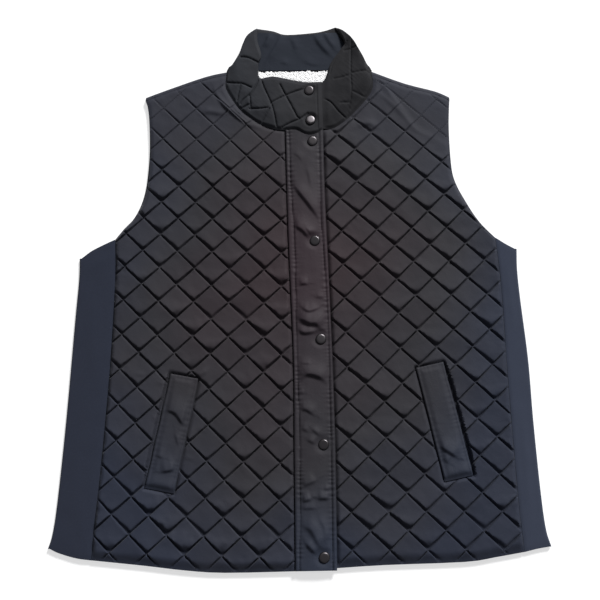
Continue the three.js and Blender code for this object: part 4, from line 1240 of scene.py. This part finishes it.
def woven_cloth(name, colours, thread, crush_size, crush_depth):
    """Spun polyester in a plain weave: dull and even, with soft creases that are a given size in millimetres.

    Its colours are those on the wearer's right, in the middle and on the left. A darker left colour is
    painted shade, for the collar's left half that leans away from the window.
    """
    material = new_material(name)
    place = add(material, "TexCoord").outputs["Object"]
    across = add(material, "SeparateXYZ", {0: place})
    share = add(material, "Math", {0: across.outputs["X"], 1: 1 / COLLAR_SPREAD, 2: 0.5},
                operation="MULTIPLY_ADD")
    # Where the last colour is darker, the collar's left half is painted in shade
    ramp = add(material, "ValToRGB", {"Fac": share.outputs["Value"]})
    set_stops(ramp, tuple(zip((0.1, 0.55, 0.75), colours)))
    crushed = uneven(material, place, 1 / (crush_size * MM), 2.0, 0.5, 0.5, crush_depth)
    woven = plain_weave(material, place, thread, 0.1, crushed.outputs["Normal"])
    shader = add(material, "BsdfPrincipled", {
        "Base Color": ramp.outputs["Color"], "Roughness": 0.85, "IOR": 1.5, "Specular IOR Level": FIBRE_GLOSS,
        "Normal": woven.outputs["Normal"]})
    add(material, "OutputMaterial", {"Surface": shader.outputs["BSDF"]})
    return material


def double_knit(name, shaded, lit):
    """Ponte double knit with a brushed face: matte, with fine upright wales and a slight heather.

    Its colour goes from shaded on the wearer's right to lit on the left: painted shade and painted light for
    how the window falls on the two panels.
    """
    material = new_material(name)
    place = add(material, "TexCoord").outputs["Object"]
    across = add(material, "SeparateXYZ", {0: place})
    # Painted shade on the wearer's right and painted light on the left
    side = add(material, "Math", {0: across.outputs["X"], 1: 1.5, 2: 0.5}, operation="MULTIPLY_ADD")
    heather = add(material, "TexNoise", {"Vector": place, "Scale": 420.0, "Detail": 2.0})
    mottled = add(material, "Math", {0: heather.outputs["Fac"], 1: 0.5, 2: -0.25}, operation="MULTIPLY_ADD")
    total = add(material, "Math", {0: side.outputs["Value"], 1: mottled.outputs["Value"]}, operation="ADD")
    ramp = add(material, "ValToRGB", {"Fac": total.outputs["Value"]})
    set_stops(ramp, ((0.0, shaded), (1.0, lit)))
    # The real wales are 0.7 mm apart, drawn at 1.4 mm so that they show
    wales = add(material, "TexWave", {"Vector": place, "Scale": WAVE_UNIT / (1.4 * MM), "Distortion": 0.6},
                bands_direction="X")
    courses = add(material, "TexWave", {"Vector": place, "Scale": WAVE_UNIT / (1.4 * MM), "Distortion": 0.6},
                  bands_direction="Y")
    ribbed = add(material, "Bump", {"Height": wales.outputs["Fac"], "Strength": 0.5, "Distance": 0.25 * MM})
    looped = add(material, "Bump", {"Height": courses.outputs["Fac"], "Strength": 0.25, "Distance": 0.15 * MM,
                                    "Normal": ribbed.outputs["Normal"]})
    shader = add(material, "BsdfPrincipled", {
        "Base Color": ramp.outputs["Color"], "Roughness": 0.95, "IOR": 1.5, "Specular IOR Level": FIBRE_GLOSS,
        "Sheen Weight": 0.05, "Sheen Roughness": 0.6, "Normal": looped.outputs["Normal"]})
    add(material, "OutputMaterial", {"Surface": shader.outputs["BSDF"]})
    return material


def spun_thread(name, colour):
    """Spun polyester sewing thread, dull, with its twist showing as fine slanted turns."""
    material = new_material(name)
    place = add(material, "TexCoord").outputs["Object"]
    # Turns 0.4 mm apart
    twist = add(material, "TexWave", {"Vector": place, "Scale": WAVE_UNIT / (0.4 * MM)},
                bands_direction="DIAGONAL")
    turned = add(material, "Bump", {"Height": twist.outputs["Fac"], "Strength": 0.4, "Distance": 0.08 * MM})
    shader = add(material, "BsdfPrincipled", {
        "Base Color": srgb(colour), "Roughness": 0.7, "IOR": 1.5, "Specular IOR Level": FIBRE_GLOSS,
        "Normal": turned.outputs["Normal"]})
    add(material, "OutputMaterial", {"Surface": shader.outputs["BSDF"]})
    return material


def sherpa(name, colour):
    """Polyester sherpa pile: dull, curly white fibre, bright all over."""
    material = new_material(name)
    place = add(material, "TexCoord").outputs["Object"]
    # Curls about 1.2 mm across
    curled = uneven(material, place, 800.0, 3.0, 1.2, 0.15, 0.3)
    shader = add(material, "BsdfPrincipled", {
        "Base Color": srgb(colour), "Roughness": 1.0, "IOR": 1.5, "Specular IOR Level": FIBRE_GLOSS,
        "Sheen Weight": 0.5, "Sheen Roughness": 0.6, "Normal": curled.outputs["Normal"]})
    add(material, "OutputMaterial", {"Surface": shader.outputs["BSDF"]})
    return material


def plated(name, colour, roughness):
    """Brass with a gunmetal plating, tumbled: a dark grey metal with a soft highlight and a fine grain."""
    material = new_material(name)
    place = add(material, "TexCoord").outputs["Object"]
    # Grain 0.4 mm across
    grained = uneven(material, place, 2500.0, 2.0, 0.0, 0.15, 0.05)
    shader = add(material, "BsdfPrincipled", {
        "Base Color": srgb(colour), "Roughness": roughness, "Metallic": 1.0,
        "Normal": grained.outputs["Normal"]})
    add(material, "OutputMaterial", {"Surface": shader.outputs["BSDF"]})
    return material


# The wine and navy ends of each taffeta's colours are a painted cast of the light
QUILTED = taffeta("black polyester taffeta, quilted", "2c2226", "27262b", "212634", 0.75)
PLAIN = taffeta("black polyester taffeta, plain", "2b2026", "242328", "222836", 0.68)
THREAD = spun_thread("black spun polyester thread", "0e0e10")
# The knit's two colours are painted shade and painted light
KNIT = double_knit("navy ponte double knit", "1e2331", "2f3544")
# The collar's darker third colour is painted shade on its left half
COLLAR = woven_cloth("black peached polyester", ("26282d", "262629", "1d1d20"), 0.5, 8.0, 0.6)
NAVY = woven_cloth("navy pongee", 3 * ("1d222c",), 0.5, 14.0, 1.2)
PILE = sherpa("white sherpa pile", "fbfbfa")
GUNMETAL = plated("gunmetal-plated brass", "595658", 0.38)


def finish_piece(piece, material, node=None):
    """Gives a piece its material and slot, hangs it on the root, and hides the node of the frame that it
    stands for.
    """
    piece.data.materials.clear()
    piece.data.materials.append(material)
    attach(piece, "root")
    if node:
        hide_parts(node)


def cut_of(outline):
    """The width and length of an outline and its area, in metres."""
    x, y = outline.T
    area = abs((x * np.roll(y, -1) - y * np.roll(x, -1)).sum()) / 2 * MM * MM
    width, length = (outline.max(axis=0) - outline.min(axis=0)) * MM
    return (width, length), area


# The vest
placket_piece, placket_edges = placket()
finish_piece(placket_piece, PLAIN, "placket")
placket_thread = stitches("placket_stitches", [smooth_line(line) for line in PLACKET_STITCHING],
                          lambda points: placket_height(points, placket_edges) + 0.1)
finish_piece(placket_thread, THREAD)

for side in ("right", "left"):
    cloth, outline = quilted_front(side, placket_edges)
    finish_piece(cloth, QUILTED, "front_" + side)
    thread = quilt_stitches(side, outline, placket_edges)
    finish_piece(thread, THREAD)
    flat, area = cut_of(outline)
    knit = side_panel(side)
    finish_piece(knit, KNIT, "side_panel_" + side)
    flat, area = KNIT_CUTS[side]
    welt, welt_thread = pocket_welt(side)
    finish_piece(welt, PLAIN, "pocket_welt_" + side)
    finish_piece(welt_thread, THREAD)

back, back_outline = back_panel()
finish_piece(back, QUILTED, "back")
flat, area = cut_of(back_outline)

collar = joined("collar_cloth", [collar_half("right"), collar_half("left"), collar_back()])
finish_piece(collar, COLLAR, "collar")
lining = collar_lining()
finish_piece(lining, NAVY, "collar_lining")
fleece, pile = pile_lining()
finish_piece(fleece, PILE, "back_lining")
finish_piece(pile, PILE)
for i, cap in enumerate(snap_caps(), start=1):
    finish_piece(cap, GUNMETAL, f"snap_{i}")


# Floor, room, window and camera, in metres
FLOOR_REACH = 4.0
FLOOR_GLOW = 0.62


def floor():
    """A wide sheet of white paper, lit a little from below so that it stays even."""
    mesh = bpy.data.meshes.new("floor")
    corners = [(x * FLOOR_REACH, y * FLOOR_REACH, 0) for x, y in ((-1, -1), (1, -1), (1, 1), (-1, 1))]
    mesh.from_pydata(corners, [], [(0, 1, 2, 3)])
    paper = new_material("white paper on a light table")
    shader = add(paper, "BsdfPrincipled", {
        "Base Color": srgb("b8b8b8"), "Roughness": 0.9, "Specular IOR Level": 0.0,
        "Emission Color": (1.0, 1.0, 1.0, 1.0), "Emission Strength": FLOOR_GLOW})
    add(paper, "OutputMaterial", {"Surface": shader.outputs["BSDF"]})
    mesh.materials.append(paper)
    put("floor", mesh)


ROOM_TINT = (0.93, 0.94, 1.0, 1.0)
ROOM_LIGHT = 0.2


def room():
    """Dim, even light from all round."""
    world = bpy.data.worlds.new("room")
    bpy.context.scene.world = world
    world.use_nodes = True
    background = world.node_tree.nodes["Background"]
    background.inputs["Color"].default_value = ROOM_TINT
    background.inputs["Strength"].default_value = ROOM_LIGHT


# Daylight from a wide window beyond the vest's left shoulder: even over the whole garment, and low
WINDOW_BEARING = math.radians(62)
WINDOW_HEIGHT = math.radians(35)
WINDOW_SPREAD = math.radians(16)
WINDOW_POWER = 5.0


def window():
    """The daylight's lamp, turned towards the vest."""
    lamp = bpy.data.lights.new("window", "SUN")
    lamp.energy = WINDOW_POWER
    lamp.angle = WINDOW_SPREAD
    level = math.cos(WINDOW_HEIGHT)
    toward = Vector((level * math.cos(WINDOW_BEARING), level * math.sin(WINDOW_BEARING),
                     math.sin(WINDOW_HEIGHT)))
    put("window", lamp).rotation_euler = toward.to_track_quat("Z", "Y").to_euler()


CAMERA_AIM = (0.001, -0.021, 0.0)
CAMERA_DISTANCE = 1.37
CAMERA_TILT = math.radians(14.5)
CAMERA_LENS = 56.96
IMAGE_SIZE = 600
SHIFT_RIGHT = -0.5
SHIFT_UP = -5.0


def camera():
    """The photo's camera: nearly straight above, a little towards the hem."""
    data = bpy.data.cameras.new("camera")
    data.lens = CAMERA_LENS
    data.sensor_width = 36
    data.shift_x = SHIFT_RIGHT / IMAGE_SIZE
    data.shift_y = SHIFT_UP / IMAGE_SIZE
    made = put("camera", data)
    made.location = (CAMERA_AIM[0], CAMERA_AIM[1] - CAMERA_DISTANCE * math.sin(CAMERA_TILT),
                     CAMERA_DISTANCE * math.cos(CAMERA_TILT))
    made.rotation_euler = (CAMERA_TILT, 0, 0)
    bpy.context.scene.camera = made


floor()
room()
window()
camera()
bpy.context.scene.view_settings.view_transform = "Standard"
